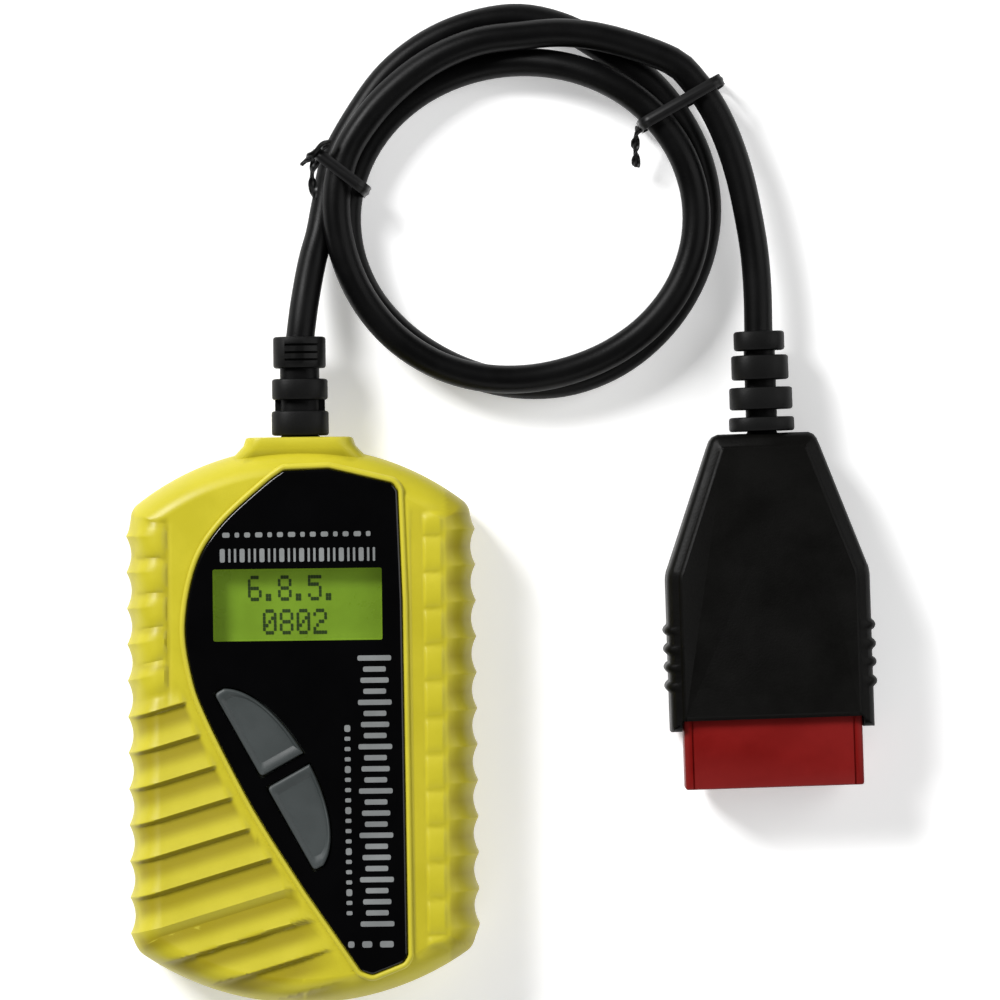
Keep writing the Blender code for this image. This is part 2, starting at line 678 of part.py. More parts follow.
def hood_shell(name, side, finish, frame):
    """Half of the hood: side is 1 for the upper half and -1 for the lower."""
    full = HOOD_HALF_HEIGHT
    edge = FIT_GAP / 2
    levels = [(0.0040, full - HOOD_WALL), (HOOD_WALL, full - 0.0042), (HOOD_WALL, edge), (0, edge)]
    levels += [(0, full - 0.0030), (0.0007, full - 0.0010), (0.0022, full)]
    rings = []
    for inset, height in levels:
        ring = []
        for x, y in hood_outline(inset):
            share = hood_height(y) if height > edge else 1
            ring.append((x, y, PLUG_MID_Z + side * height * share))
        rings.append(ring)
    shell = add(name, loft(rings), finish, frame)
    room = SHROUD_HALF_WIDTH + FIT_GAP
    tall = SHROUD_HALF_HEIGHT + FIT_GAP
    cut(shell, box((-room, 0.0100, -0.0020), (room, HOOD_PLATE_FRONT, 0.0230)))
    cut(shell, box((-room, 0.0110, PLUG_MID_Z - tall), (room, BLOCK_BACK + 0.0010, PLUG_MID_Z + tall)))
    cut(shell, turned_along_y((0, PLUG_MID_Z), [(0.0700, 0.0038), (0.0850, 0.0038)], 20))
    return shell


def shroud_section(half_wide, half_narrow, low, high, front, back, bm=None):
    """A bar along y whose section is wide at the top and narrower at the bottom."""
    section = [(half_narrow, low), (half_wide, low + 0.0050), (half_wide, high)]
    section += [(-x, z) for x, z in reversed(section)]
    return loft([[(x, y, z) for x, z in section] for y in (front, back)], bm=bm)


def pin_place(number):
    """Where a contact sits in the plug: its x, and its row's height."""
    column = (number - 1) % 8
    row = 1 if number <= 8 else -1
    return (column - 3.5) * PIN_PITCH, PLUG_MID_Z + row * PIN_ROW_Z


def make_plug_body(finish, frame):
    """The red body: a shroud with a middle rib in front, and the block that holds the contacts behind."""
    low = PLUG_MID_Z - SHROUD_HALF_HEIGHT
    high = PLUG_MID_Z + SHROUD_HALF_HEIGHT
    body = shroud_section(SHROUD_HALF_WIDTH, SHROUD_NARROW_HALF_WIDTH, low, high, 0, BLOCK_BACK)
    body = add("plug_body", body, finish, frame)
    wide = SHROUD_HALF_WIDTH - SHROUD_WALL
    rib = 0.0008
    upper = [(wide, PLUG_MID_Z + rib), (wide, high - SHROUD_WALL)]
    narrow = SHROUD_NARROW_HALF_WIDTH - SHROUD_WALL
    lower = [(narrow, low + SHROUD_WALL), (wide, low + 0.0060), (wide, PLUG_MID_Z - rib)]
    for right in (upper, lower):
        section = right + [(-x, z) for x, z in reversed(right)]
        cut(body, loft([[(x, y, z) for x, z in section] for y in (-0.0010, SHROUD_DEPTH)]))
    slots = bmesh.new()
    for number in PINS:
        x, z = pin_place(number)
        box((x - 0.00105, 0.0120, z - 0.0006), (x + 0.00105, 0.0300, z + 0.0006), bm=slots)
    cut(body, slots)


def make_plug(finishes):
    frame = bpy.data.objects.new("plug_frame", None)
    bpy.context.scene.collection.objects.link(frame)
    frame.location = (*PLUG_MOUTH, 0)
    frame.rotation_euler = (0, 0, PLUG_TURN)
    lower = hood_shell("plug_hood_bottom", -1, finishes["hood"], frame)
    upper = hood_shell("plug_hood_top", 1, finishes["hood"], frame)
    for i, centre in enumerate(HOOD_SCREWS):
        join(lower, round_bar(centre, [(0.0010, 0.0034), (PLUG_MID_Z - 0.0010, 0.0034)], 16))
        hole = [(-0.0010, 0.0023), (0.0045, 0.0023), (0.0045, 0.0012), (0.0120, 0.0012)]
        cut(lower, round_bar(centre, hole, 16))
        join(upper, round_bar(centre, [(PLUG_MID_Z - 0.0007, 0.0026), (0.0192, 0.0026)], 16))
        cut(upper, round_bar(centre, [(0.0080, 0.0012), (0.0170, 0.0012)], 12))
        head = (0.0020, 0.0026, 0.0042)
        shank = (0.0009, 0.0042, 0.0160)
        make_screw(f"hood_screw_{i + 1}", centre, finishes["steel"], head, shank, frame)
    make_plug_body(finishes["red"], frame)
    for number in PINS:
        x, z = pin_place(number)
        pin = box((x - 0.00075, 0.0035, z - 0.0003), (x + 0.00075, BLOCK_BACK + 0.0003, z + 0.0003))
        pin = add(f"terminal_{number:02d}", pin, finishes["brass"], frame)
        join(pin, box((x - 0.0011, BLOCK_BACK + 0.0002, z - 0.0009), (x + 0.0011, 0.0340, z + 0.0009)))
    make_loom(finishes["cable"], frame)
    bands = [(0.0731, 0.0756, 0.0048), (0.0756, 0.0786, 0.00345), (0.0786, 0.0817, 0.0072)]
    bands += [(0.0834, 0.0883, 0.00695), (0.0900, 0.0954, 0.0063), (0.0965, 0.1007, 0.0056)]
    make_relief("plug_relief", (0, PLUG_MID_Z), steps(bands, 0.00345), finishes["relief"], frame)


def make_loom(finish, frame):
    """The wires inside the hood: a trunk from the strain relief, and a flat fan to each row of contacts."""
    trunk = turned_along_y((0, PLUG_MID_Z), [(0.0600, 0.0024), (0.0728, 0.0024)], 12)
    loom = add("wire_loom", trunk, finish, frame)
    stations = [(0.0625, 0.0012, 0.0006, 0.0011), (0.0560, 0.0030, 0.0010, 0.0011)]
    stations += [(0.0400, 0.0150, 0.0036, 0.0009), (0.0343, 0.0152, 0.0039, 0.0007)]
    for row in (1, -1):
        rings = []
        for y, half_width, drop, thickness in stations:
            middle = PLUG_MID_Z + row * drop
            low = middle - thickness / 2
            high = middle + thickness / 2
            section = [(-half_width, low), (half_width, low), (half_width, high), (-half_width, high)]
            rings.append([(x, y, z) for x, z in section])
        join(loom, loft(rings))


# ---------------------------------------------------------------- the whole


def main():
    clear_scene()
    finishes = {
        "yellow": material("case_yellow", (0.66, 0.56, 0.03), 0.35),
        "overlay": material("overlay_black", (0.006, 0.006, 0.008), 0.12),
        "clear": material("window_clear", (0.55, 0.62, 0.50), 0.05),
        "key": material("key_grey", (0.09, 0.10, 0.10), 0.45),
        "board": material("board_green", (0.03, 0.16, 0.06), 0.45),
        "black_part": material("part_black", (0.02, 0.02, 0.02), 0.5),
        "steel": material("steel", (0.60, 0.60, 0.60), 0.3, 1.0),
        "lcd": material("lcd_green", (0.25, 0.42, 0.04), 0.2),
        "backlight": material("backlight_white", (0.70, 0.75, 0.55), 0.6),
        "ivory": material("connector_ivory", (0.75, 0.72, 0.62), 0.5),
        "label": material("label_silver", (0.55, 0.55, 0.56), 0.4),
        "cable": material("cable_black", (0.012, 0.012, 0.012), 0.5),
        "relief": material("relief_black", (0.010, 0.010, 0.010), 0.55),
        "tie": material("tie_black", (0.012, 0.012, 0.012), 0.35),
        "hood": material("hood_black", (0.010, 0.010, 0.010), 0.5),
        "red": material("plug_red", (0.22, 0.012, 0.010), 0.4),
        "brass": material("terminal_brass", (0.80, 0.62, 0.25), 0.3, 1.0),
    }
    make_front_cover(finishes["yellow"])
    make_rear_cover(finishes["yellow"])
    add("rear_label", block((0, -0.0050), (0.0450, 0.0290), 0.0001, 0.0004), finishes["label"])
    make_face(finishes)
    make_display(finishes)
    make_main_board(finishes)
    head = (0.0027, 0.0034, 0.0057)
    shank = (0.0012, 0.0057, 0.0175)
    for i, centre in enumerate(CASE_SCREWS):
        make_screw(f"case_screw_{i + 1}", centre, finishes["steel"], head, shank)
    head = (0.0019, 0.0079, 0.0092)
    shank = (0.0009, 0.0032, 0.0079)
    for i, centre in enumerate(BOARD_SCREWS):
        make_screw(f"board_screw_{i + 1}", centre, finishes["steel"], head, shank)
    make_cable(finishes)
    make_plug(finishes)


main()
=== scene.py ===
"""The OBD code reader's visual model: a yellow reader, its coiled cable and its diagnostic plug."""

import math

import bmesh
import bpy
import numpy as np
from mathutils import Matrix, Vector


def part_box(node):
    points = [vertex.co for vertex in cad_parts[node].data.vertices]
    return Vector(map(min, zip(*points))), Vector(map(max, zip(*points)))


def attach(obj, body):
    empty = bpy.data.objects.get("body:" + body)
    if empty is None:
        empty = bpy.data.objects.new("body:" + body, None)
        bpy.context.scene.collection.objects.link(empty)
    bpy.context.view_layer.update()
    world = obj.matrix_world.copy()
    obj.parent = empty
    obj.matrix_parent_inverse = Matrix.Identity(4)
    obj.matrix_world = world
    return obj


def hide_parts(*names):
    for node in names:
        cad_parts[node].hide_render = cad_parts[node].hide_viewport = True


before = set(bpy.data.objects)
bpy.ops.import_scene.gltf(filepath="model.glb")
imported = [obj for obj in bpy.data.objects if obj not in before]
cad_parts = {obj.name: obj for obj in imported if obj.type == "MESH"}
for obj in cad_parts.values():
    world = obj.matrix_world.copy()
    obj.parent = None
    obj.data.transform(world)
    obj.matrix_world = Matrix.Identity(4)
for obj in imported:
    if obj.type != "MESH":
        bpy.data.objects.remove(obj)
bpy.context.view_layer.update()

# Reader case, as in the CAD: x across, y towards the cable, z up from its back
CASE_HALF_WIDTH = 0.03745
CASE_TOP = 0.0604
CASE_BOTTOM = -0.0625
TOP_ARC_RADIUS = 0.0586
BOTTOM_ARC_RADIUS = 0.063
CORNER_RADIUS = 0.004
PARTING_Z = 0.01195
RIB_HEIGHT = 0.0011
RIB_PITCH = 0.00797
RIB_COUNT = 12
LOWEST_RIB = {1: -0.0458, -1: -0.0466}
RELIEF_X = 0.0002
RELIEF_Z = 0.012
RELIEF_BORE = 0.0047
COLLAR_END = 0.0625

# Face
FACE_Z = 0.0235
RECESS_Z = 0.023
OVERLAY_TOP_Z = 0.024
WINDOW_CENTRE = (-0.0005, 0.0257)
WINDOW_SIZE = (0.037, 0.0157)
KEY_CHORD_START = (-0.0192, 0.0068)
KEY_CHORD_END = (0.0027, -0.0331)
KEY_BULGE = 0.0106
KEY_SPLIT = 0.0028
KEY_ROOM = 0.0004

# Cable
CABLE_RADIUS = 0.00315
COIL_CENTRE = (0.05, 0.1141)
COIL_OUTER = 0.04135
OPENING_CENTRE = (0.0497, 0.1105)
OPENING_AXES = (0.03885, 0.0349)
COIL_BOTTOM_Z = 0.00075
COIL_TOP_Z = 0.01335

# Plug, in its own frame: y runs from the mouth towards the cable
PLUG_MOUTH = (0.10405, -0.01594)
PLUG_TURN = math.radians(1.2)
PLUG_MID_Z = 0.0103
HOOD_HALF_WIDTH = 0.02245
HOOD_FRONT = 0.0128
HOOD_PLATE_FRONT = 0.0152
HOOD_SHOULDER = 0.0482
HOOD_BACK = 0.0781
HOOD_BACK_HALF_WIDTH = 0.0114
HOOD_HALF_HEIGHT = 0.0103
SHROUD_HALF_WIDTH = 0.0197
SHROUD_NARROW_HALF_WIDTH = 0.0172
SHROUD_HALF_HEIGHT = 0.0079
SHROUD_WALL = 0.0012
SHROUD_DEPTH = 0.0132
BLOCK_BACK = 0.028
HOOD_SCREWS = [(0.0135, 0.052), (-0.0135, 0.052)]
PINS = [2, 4, 5, 6, 7, 10, 14, 15, 16]
PIN_PITCH = 0.004
PIN_ROW_Z = 0.0039

# ---------------------------------------------------------------- camera

CAMERA_PLACE = (0.04419, 0.04809, 1.3)
CAMERA_TURN = math.radians(-0.7)
CAMERA_LENS = 209.5


def placed(name, data):
    """A new object of the scene with this data."""
    obj = bpy.data.objects.new(name, data)
    bpy.context.scene.collection.objects.link(obj)
    return obj


def make_camera():
    data = bpy.data.cameras.new("camera")
    data.lens = CAMERA_LENS
    data.sensor_width = 36.0
    data.clip_start = 0.05
    camera = placed("camera", data)
    camera.location = CAMERA_PLACE
    camera.rotation_euler = (0, 0, CAMERA_TURN)
    bpy.context.scene.camera = camera


# ---------------------------------------------------------------- materials


def node_of(tree, kind, **values):
    """A new node, with its inputs of these names set."""
    made = tree.nodes.new(kind)
    for name, value in values.items():
        made.inputs[name.replace("_", " ")].default_value = value
    return made


def ramp(tree, source, low, high, dark, light):
    """A MapRange from low..high to dark..light."""
    made = node_of(tree, "ShaderNodeMapRange", From_Min=low, From_Max=high, To_Min=dark, To_Max=light)
    tree.links.new(source, made.inputs["Value"])
    return made.outputs["Result"]


def mixed(tree, share, first, second):
    """A colour mix: first and second are colours or sockets."""
    made = tree.nodes.new("ShaderNodeMix")
    made.data_type = "RGBA"
    tree.links.new(share, made.inputs["Factor"])
    for socket, value in ((made.inputs[6], first), (made.inputs[7], second)):
        if isinstance(value, bpy.types.NodeSocket):
            tree.links.new(value, socket)
        else:
            socket.default_value = (*value, 1)
    return made.outputs[2]


def finish(
    name, colour, roughness, grain=0.0004, depth=20e-6, mottle=0.1, wear=0.25, wear_colour=None,
    crease_shade=0.0, metallic=0.0, glow=0.0, alpha=1.0, specular=0.5, painted_shade=None,
):
    """A plastic, rubber or metal: fine grain, patches of tone and gloss, paler worn edges, and painted shade
    that darkens creases and the places marked on the mesh.
    """
    made = bpy.data.materials.new(name)
    made.use_nodes = True
    tree = made.node_tree
    shader = tree.nodes["Principled BSDF"]
    coords = tree.nodes.new("ShaderNodeTexCoord")
    fine = node_of(tree, "ShaderNodeTexNoise", Scale=1 / grain, Detail=3.0, Roughness=0.6)
    broad = node_of(tree, "ShaderNodeTexNoise", Scale=70.0, Detail=5.0, Roughness=0.6)
    for noise in (fine, broad):
        tree.links.new(coords.outputs["Object"], noise.inputs["Vector"])
    bump = node_of(tree, "ShaderNodeBump", Strength=1.0, Distance=depth)
    tree.links.new(fine.outputs["Fac"], bump.inputs["Height"])
    tree.links.new(bump.outputs["Normal"], shader.inputs["Normal"])
    patches = ramp(tree, broad.outputs["Fac"], 0.35, 0.65, 0.0, 1.0)
    darker = tuple(c * (1 - mottle) for c in colour)
    lighter = tuple(min(c * (1 + mottle), 1) for c in colour)
    tone = mixed(tree, patches, darker, lighter)
    shape = tree.nodes.new("ShaderNodeNewGeometry")
    # Painted shade: the share stored on the mesh mixes the tone towards the given shade colour.
    if painted_shade:
        shade_attribute = tree.nodes.new("ShaderNodeAttribute")
        shade_attribute.attribute_name = "painted_shade"
        tone = mixed(tree, ramp(tree, shade_attribute.outputs["Fac"], 0.0, 1.0, 0.0, 1.0), tone, painted_shade)
    # Painted shade: where the surface curves inwards, the tone is darkened towards 0.35 of the colour.
    if crease_shade:
        shaded_creases = ramp(tree, shape.outputs["Pointiness"], 0.4, 0.5, crease_shade, 0.0)
        tone = mixed(tree, shaded_creases, tone, tuple(c * 0.35 for c in colour))
    if wear:
        edges = ramp(tree, shape.outputs["Pointiness"], 0.52, 0.6, 0.0, wear)
        worn = wear_colour or tuple(min(c * 1.5 + 0.03, 1) for c in colour)
        tone = mixed(tree, edges, tone, worn)
    tree.links.new(tone, shader.inputs["Base Color"])
    gloss = ramp(tree, broad.outputs["Fac"], 0.3, 0.7, roughness * 0.82, min(roughness * 1.18, 1))
    tree.links.new(gloss, shader.inputs["Roughness"])
    shader.inputs["Metallic"].default_value = metallic
    shader.inputs["Alpha"].default_value = alpha
    shader.inputs["Specular IOR Level"].default_value = specular
    if glow:
        tree.links.new(tone, shader.inputs["Emission Color"])
        shader.inputs["Emission Strength"].default_value = glow
    return made


YELLOW = (0.515, 0.452, 0.022)
WORN_YELLOW = (0.72, 0.65, 0.09)
# Painted shade colour, laid over the yellow where the grip's grooves, pad gaps and side flanks lie in shade
SHADE_OLIVE = (0.3, 0.245, 0.008)
GREY = (0.04, 0.047, 0.047)
WORN_GREY = (0.14, 0.15, 0.15)
PANEL_BLACK = (0.001, 0.001, 0.0012)
SHEATH_BLACK = (0.002, 0.002, 0.0021)
RELIEF_BLACK = (0.0028, 0.0028, 0.0028)
TIE_BLACK = (0.0035, 0.0035, 0.0037)
HOOD_BLACK = (0.0024, 0.0023, 0.002)
RED = (0.155, 0.003, 0.0022)

# Each slot's finish: name, colour, roughness, size of grain, depth of bump, mottle, wear of edges
FINISHES = {
    # The yellow case carries painted shade: 0.6 darkens its creases, and the olive fills the shaded places
    # marked on its mesh.
    "case_yellow": finish(
        "yellow_plastic", YELLOW, 0.42, 0.00035, 22e-6, 0.05, 0.3, WORN_YELLOW, 0.6,
        specular=0.28, painted_shade=SHADE_OLIVE,
    ),
    "overlay_black": finish("gloss_overlay", PANEL_BLACK, 0.14, 0.0003, 2e-6, 0.2, 0.0, specular=0.35),
    "print_grey": finish("screen_print", (0.19, 0.2, 0.2), 0.55, 0.0002, 4e-6, 0.15, 0.0),
    "window_clear": finish("clear_window", (0.05, 0.07, 0.03), 0.06, 0.001, 1e-6, 0.05, 0.0, alpha=0.05),
    "key_grey": finish("key_rubber", GREY, 0.5, 0.0003, 20e-6, 0.12, 0.5, WORN_GREY, specular=0.35),
    "board_green": finish("circuit_board", (0.02, 0.13, 0.05), 0.4, 0.0006, 20e-6, 0.2, 0.3),
    "part_black": finish("moulded_part", (0.018, 0.018, 0.019), 0.5, 0.0003, 10e-6, 0.15, 0.4),
    "steel": finish("zinc_steel", (0.55, 0.55, 0.54), 0.3, 0.0004, 10e-6, 0.08, 0.3, metallic=1.0),
    "lcd_green": finish("lcd_glass_green", (0.135, 0.235, 0.014), 0.3, 0.0005, 2e-6, 0.1, 0.0, glow=0.34),
    "lcd_dark": finish("lcd_segments", (0.018, 0.04, 0.006), 0.35, 0.0004, 2e-6, 0.1, 0.0),
    "backlight_white": finish("backlight", (0.66, 0.72, 0.52), 0.6, 0.0005, 10e-6, 0.05, 0.2, glow=0.3),
    "connector_ivory": finish("ivory_nylon", (0.7, 0.66, 0.54), 0.5, 0.0004, 10e-6, 0.06, 0.3),
    "label_silver": finish("blank_label", (0.5, 0.5, 0.51), 0.45, 0.0003, 6e-6, 0.05, 0.3),
    "cable_black": finish("cable_sheath", SHEATH_BLACK, 0.4, 0.0005, 30e-6, 0.25, 0.12, specular=0.1),
    "relief_black": finish("relief_rubber", RELIEF_BLACK, 0.5, 0.0004, 30e-6, 0.2, 0.35, specular=0.1),
    "tie_black": finish("tie_plastic", TIE_BLACK, 0.36, 0.0004, 10e-6, 0.2, 0.5, specular=0.18),
    "hood_black": finish("hood_plastic", HOOD_BLACK, 0.44, 0.0005, 40e-6, 0.15, 0.0, specular=0.09),
    "plug_red": finish("red_plastic", RED, 0.42, 0.0004, 20e-6, 0.12, 0.35, specular=0.12),
    "terminal_brass": finish("brass", (0.78, 0.6, 0.24), 0.28, 0.0004, 10e-6, 0.08, 0.2, metallic=1.0),
}


# ---------------------------------------------------------------- mesh helpers


def mesh_of(name, bm):
    """The bmesh as a new mesh; the bmesh is used up."""
    mesh = bpy.data.meshes.new(name)
    bm.to_mesh(mesh)
    bm.free()
    return mesh


def dress(mesh, slot, angle=35.0):
    """Gives a mesh the finish of its slot, and smooth shading up to this angle."""
    mesh.materials.clear()
    mesh.materials.append(FINISHES[slot])
    mesh.shade_smooth()
    mesh.set_sharp_from_angle(angle=math.radians(angle))


def piece(name, bm, slot, body="reader", stands_for=(), smooth_angle=35.0):
    """A bmesh as a finished piece that rides on a body."""
    bmesh.ops.recalc_face_normals(bm, faces=bm.faces)
    wide = [face for face in bm.faces if len(face.verts) > 4]
    bmesh.ops.triangulate(bm, faces=wide, ngon_method="EAR_CLIP")
    obj = placed(name, mesh_of(name, bm))
    dress(obj.data, slot, smooth_angle)
    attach(obj, body)
    if stands_for:
        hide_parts(*stands_for)
    return obj


def carve(obj, bm, operation="DIFFERENCE"):
    """Cuts a shape away from the piece, or joins it on, and keeps the result as its mesh."""
    bmesh.ops.recalc_face_normals(bm, faces=bm.faces)
    bmesh.ops.triangulate(bm, faces=bm.faces)
    mesh = mesh_of("cutter", bm)
    cutter = placed("cutter", mesh)
    boolean = obj.modifiers.new("carve", "BOOLEAN")
    boolean.operation = operation
    boolean.solver = "MANIFOLD"
    boolean.object = cutter
    graph = bpy.context.evaluated_depsgraph_get()
    result = bpy.data.meshes.new_from_object(obj.evaluated_get(graph))
    obj.modifiers.clear()
    old = obj.data
    obj.data = result
    result.name = obj.name
    bpy.data.meshes.remove(old)
    bpy.data.objects.remove(cutter)
    bpy.data.meshes.remove(mesh)


def resharpened(obj, slot, angle=35.0, flat_top=False):
    """Tidies the mesh of a carved piece and shades it anew."""
    bm = bmesh.new()
    bm.from_mesh(obj.data)
    bmesh.ops.remove_doubles(bm, verts=bm.verts, dist=0.00002)
    bmesh.ops.dissolve_degenerate(bm, edges=bm.edges, dist=0.00001)
    wide = [face for face in bm.faces if len(face.verts) > 4]
    bmesh.ops.triangulate(bm, faces=wide, ngon_method="BEAUTY")
    bm.to_mesh(obj.data)
    bm.free()
    for polygon in obj.data.polygons:
        polygon.material_index = 0
    dress(obj.data, slot, angle)
    if flat_top:
        for polygon in obj.data.polygons:
            polygon.use_smooth = abs(polygon.normal.z) < 0.9999


def loft(rings, cyclic=False, bm=None):
    """A closed body through rings of equally many points: capped at both ends, or joined end to start."""
    bm = bm or bmesh.new()
    rows = [[bm.verts.new(point) for point in ring] for ring in rings]
    pairs = list(zip(rows, rows[1:]))
    if cyclic:
        pairs.append((rows[-1], rows[0]))
    else:
        bm.faces.new(rows[0])
        bm.faces.new(rows[-1])
    for lower, upper in pairs:
        for i in range(len(lower)):
            k = (i + 1) % len(lower)
            bm.faces.new((lower[i], lower[k], upper[k], upper[i]))
    return bm


def prism(outline, low, high, bm=None):
    return loft([[(x, y, z) for x, y in outline] for z in (low, high)], bm=bm)


def rectangle(centre, size):
    x, y = centre
    a = size[0] / 2
    b = size[1] / 2
    return [(x - a, y - b), (x + a, y - b), (x + a, y + b), (x - a, y + b)]


def rounded_rectangle(centre, size, radius, steps=4):
    points = []
    a = size[0] / 2 - radius
    b = size[1] / 2 - radius
    for sx, sy, start in ((1, -1, -90), (1, 1, 0), (-1, 1, 90), (-1, -1, 180)):
        points += arc((centre[0] + sx * a, centre[1] + sy * b), radius, start, start + 90, steps)
    return points


def block(centre, size, low, height):
    return prism(rectangle(centre, size), low, low + height)


def stepped(outline, levels):
    """Rings of the outline, each grown by its level's amount and at its height."""
    return [[(x, y, z) for x, y in grown(outline, out)] for out, z in levels]


def mirrored(right):
    """A right half and its mirror image as one outline."""
    return right + [(-x, y) for x, y in reversed(right)]


def box_middle(node):
    """The middle of a CAD node's box, seen from above."""
    lowest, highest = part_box(node)
    return (lowest[0] + highest[0]) / 2, (lowest[1] + highest[1]) / 2


def arc(centre, radius, start, end, steps):
    points = []
    for i in range(steps + 1):
        angle = math.radians(start + (end - start) * i / steps)
        points.append((centre[0] + radius * math.cos(angle), centre[1] + radius * math.sin(angle)))
    return points


def heading(angle):
    return Vector((math.cos(angle), math.sin(angle)))


def round_bar(centre, profile, sides=32):
    """A body turned about a vertical line: profile is a list of (z, radius)."""
    rings = [[(x, y, z) for x, y in arc(centre, r, 0, 360, sides)[:-1]] for z, r in profile]
    return loft(rings)


def grown(outline, amount):
    """A counter-clockwise outline moved outwards by amount at each of its points."""
    moved = []
    count = len(outline)
    for i, (x, y) in enumerate(outline):
        into = Vector(outline[i]) - Vector(outline[i - 1])
        out = Vector(outline[(i + 1) % count]) - Vector(outline[i])
        first = Vector((into.y, -into.x)).normalized()
        second = Vector((out.y, -out.x)).normalized()
        corner = (first + second) / max(1 + first.dot(second), 0.4)
        moved.append((x + amount * corner.x, y + amount * corner.y))
    return moved


def smooth_points(route, spacing):
    """Points about spacing apart on the smooth curve through the route's points."""
    route = [Vector(p) for p in route]
    ends = [2 * route[0] - route[1]] + route + [2 * route[-1] - route[-2]]
    points = [route[0]]
    for a, b, c, d in zip(ends, ends[1:], ends[2:], ends[3:]):
        steps = max(1, round((c - b).length / spacing))
        for i in range(1, steps + 1):
            t = i / steps
            square = (2 * a - 5 * b + 4 * c - d) * t**2
            cube = (3 * b - a - 3 * c + d) * t**3
            points.append(0.5 * (2 * b + (c - a) * t + square + cube))
    return points


def rounded_corners(outline, radius, steps=4):
    """The outline with each sharp corner replaced by a small curve."""
    points = []
    count = len(outline)
    for i in range(count):
        before = Vector(outline[i - 1])
        here = Vector(outline[i])
        after = Vector(outline[(i + 1) % count])
        into = (before - here).normalized()
        out = (after - here).normalized()
        turn = math.pi - into.angle(out)
        if turn < math.radians(12):
            points.append(tuple(here))
            continue
        reach = min(radius * math.tan(turn / 2), (before - here).length * 0.45, (after - here).length * 0.45)
        start = here + into * reach
        end = here + out * reach
        for k in range(steps + 1):
            t = k / steps
            point = start * (1 - t) ** 2 + here * 2 * t * (1 - t) + end * t**2
            points.append(tuple(point))
    return points


def plug_matrix():
    return Matrix.Translation((*PLUG_MOUTH, 0)) @ Matrix.Rotation(PLUG_TURN, 4, "Z")


# ---------------------------------------------------------------- cord


def slot_radius(angle, inward):
    """Distance from the coil's centre to a strand: 0 inward is the outermost strand, 1 the innermost."""
    direction = heading(angle)
    offset = Vector(COIL_CENTRE) - Vector(OPENING_CENTRE)
    wide, high = OPENING_AXES
    a = (direction.x / wide) ** 2 + (direction.y / high) ** 2
    b = offset.x * direction.x / wide**2 + offset.y * direction.y / high**2
    c = (offset.x / wide) ** 2 + (offset.y / high) ** 2 - 1
    inner = (-b + math.sqrt(b * b - a * c)) / a
    return COIL_OUTER + inward * (inner - COIL_OUTER)


def between(stops, turned):
    """The value at this angle of a smooth run through (degrees, value) stops."""
    for (start, low), (end, high) in zip(stops, stops[1:]):
        if turned <= end:
            t = (turned - start) / (end - start)
            return low + (high - low) * t * t * (3 - 2 * t)
    return stops[-1][1]


# The coil's stops: degrees turned, and how far inward or how high the strand is there
COIL_INWARD = [(30, 0), (95, 0), (118, 0.3), (150, 0.3), (195, 0), (240, 0), (320, 1), (600, 1)]
COIL_INWARD += [(690, 0), (720, 0), (760, 0.5), (810, 0.45), (845, 0)]
COIL_HEIGHT = [(30, 0.0042), (60, 0.0039), (420, 0.0039), (500, 0.0095), (745, 0.0095)]
COIL_HEIGHT += [(810, 0.0102), (845, 0.01)]
COIL_STEP = 15
CORD_SPACING = 0.0022
READER_LEAD = [(0.0005, 0.0853, 0.012), (0.0012, 0.0907, 0.0114), (0.0023, 0.0973, 0.0096)]
READER_LEAD += [(0.0034, 0.1026, 0.0079), (0.0049, 0.1079, 0.0065), (0.0063, 0.115, 0.0054)]
READER_LEAD += [(0.0084, 0.1245, 0.0047)]
PLUG_LEAD = [(0.0834, 0.145, 0.01), (0.0886, 0.14, 0.0099), (0.0925, 0.1343, 0.0099)]
PLUG_LEAD += [(0.0958, 0.127, 0.0099), (0.0982, 0.1192, 0.01), (0.0999, 0.111, 0.0101)]
PLUG_LEAD += [(0.1012, 0.1025, 0.0102), (0.1018, 0.094, 0.0103), (0.1019, 0.0852, 0.0103)]
# The last few millimetres at each end run inside the strain reliefs
INTO_READER = [(0.0002, 0.0832, 0.012)]
INTO_PLUG = [(0.1019, 0.083, 0.0103)]


def coil_route():
    """The coil's turns, clockwise from its upper left to its upper right, two full turns later."""
    points = []
    for turned in range(int(COIL_INWARD[0][0]), int(COIL_INWARD[-1][0]) + 1, COIL_STEP):
        angle = math.radians(180 - turned)
        reach = slot_radius(angle, between(COIL_INWARD, turned))
        x = COIL_CENTRE[0] + reach * math.cos(angle)
        y = COIL_CENTRE[1] + reach * math.sin(angle)
        points.append((x, y, between(COIL_HEIGHT, turned)))
    return points


def make_cord():
    """The cable as one tube, and its length."""
    route = INTO_READER + READER_LEAD + coil_route() + PLUG_LEAD + INTO_PLUG
    points = smooth_points(route, CORD_SPACING)
    curve = bpy.data.curves.new("cable", "CURVE")
    curve.dimensions = "3D"
    curve.bevel_depth = CABLE_RADIUS
    curve.bevel_resolution = 6
    curve.use_fill_caps = True
    spline = curve.splines.new("POLY")
    spline.points.add(len(points) - 1)
    for place, point in zip(spline.points, points):
        place.co = (*point, 1)
    curve.materials.append(FINISHES["cable_black"])
    cable = placed("cable", curve)
    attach(cable, "reader")
    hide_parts("cable_lead_reader", "cable_coil", "cable_lead_plug")
    length = sum((b - a).length for a, b in zip(points, points[1:]))
    return cable, length


make_camera()
cable, cable_length = make_cord()


# ---------------------------------------------------------------- reader case


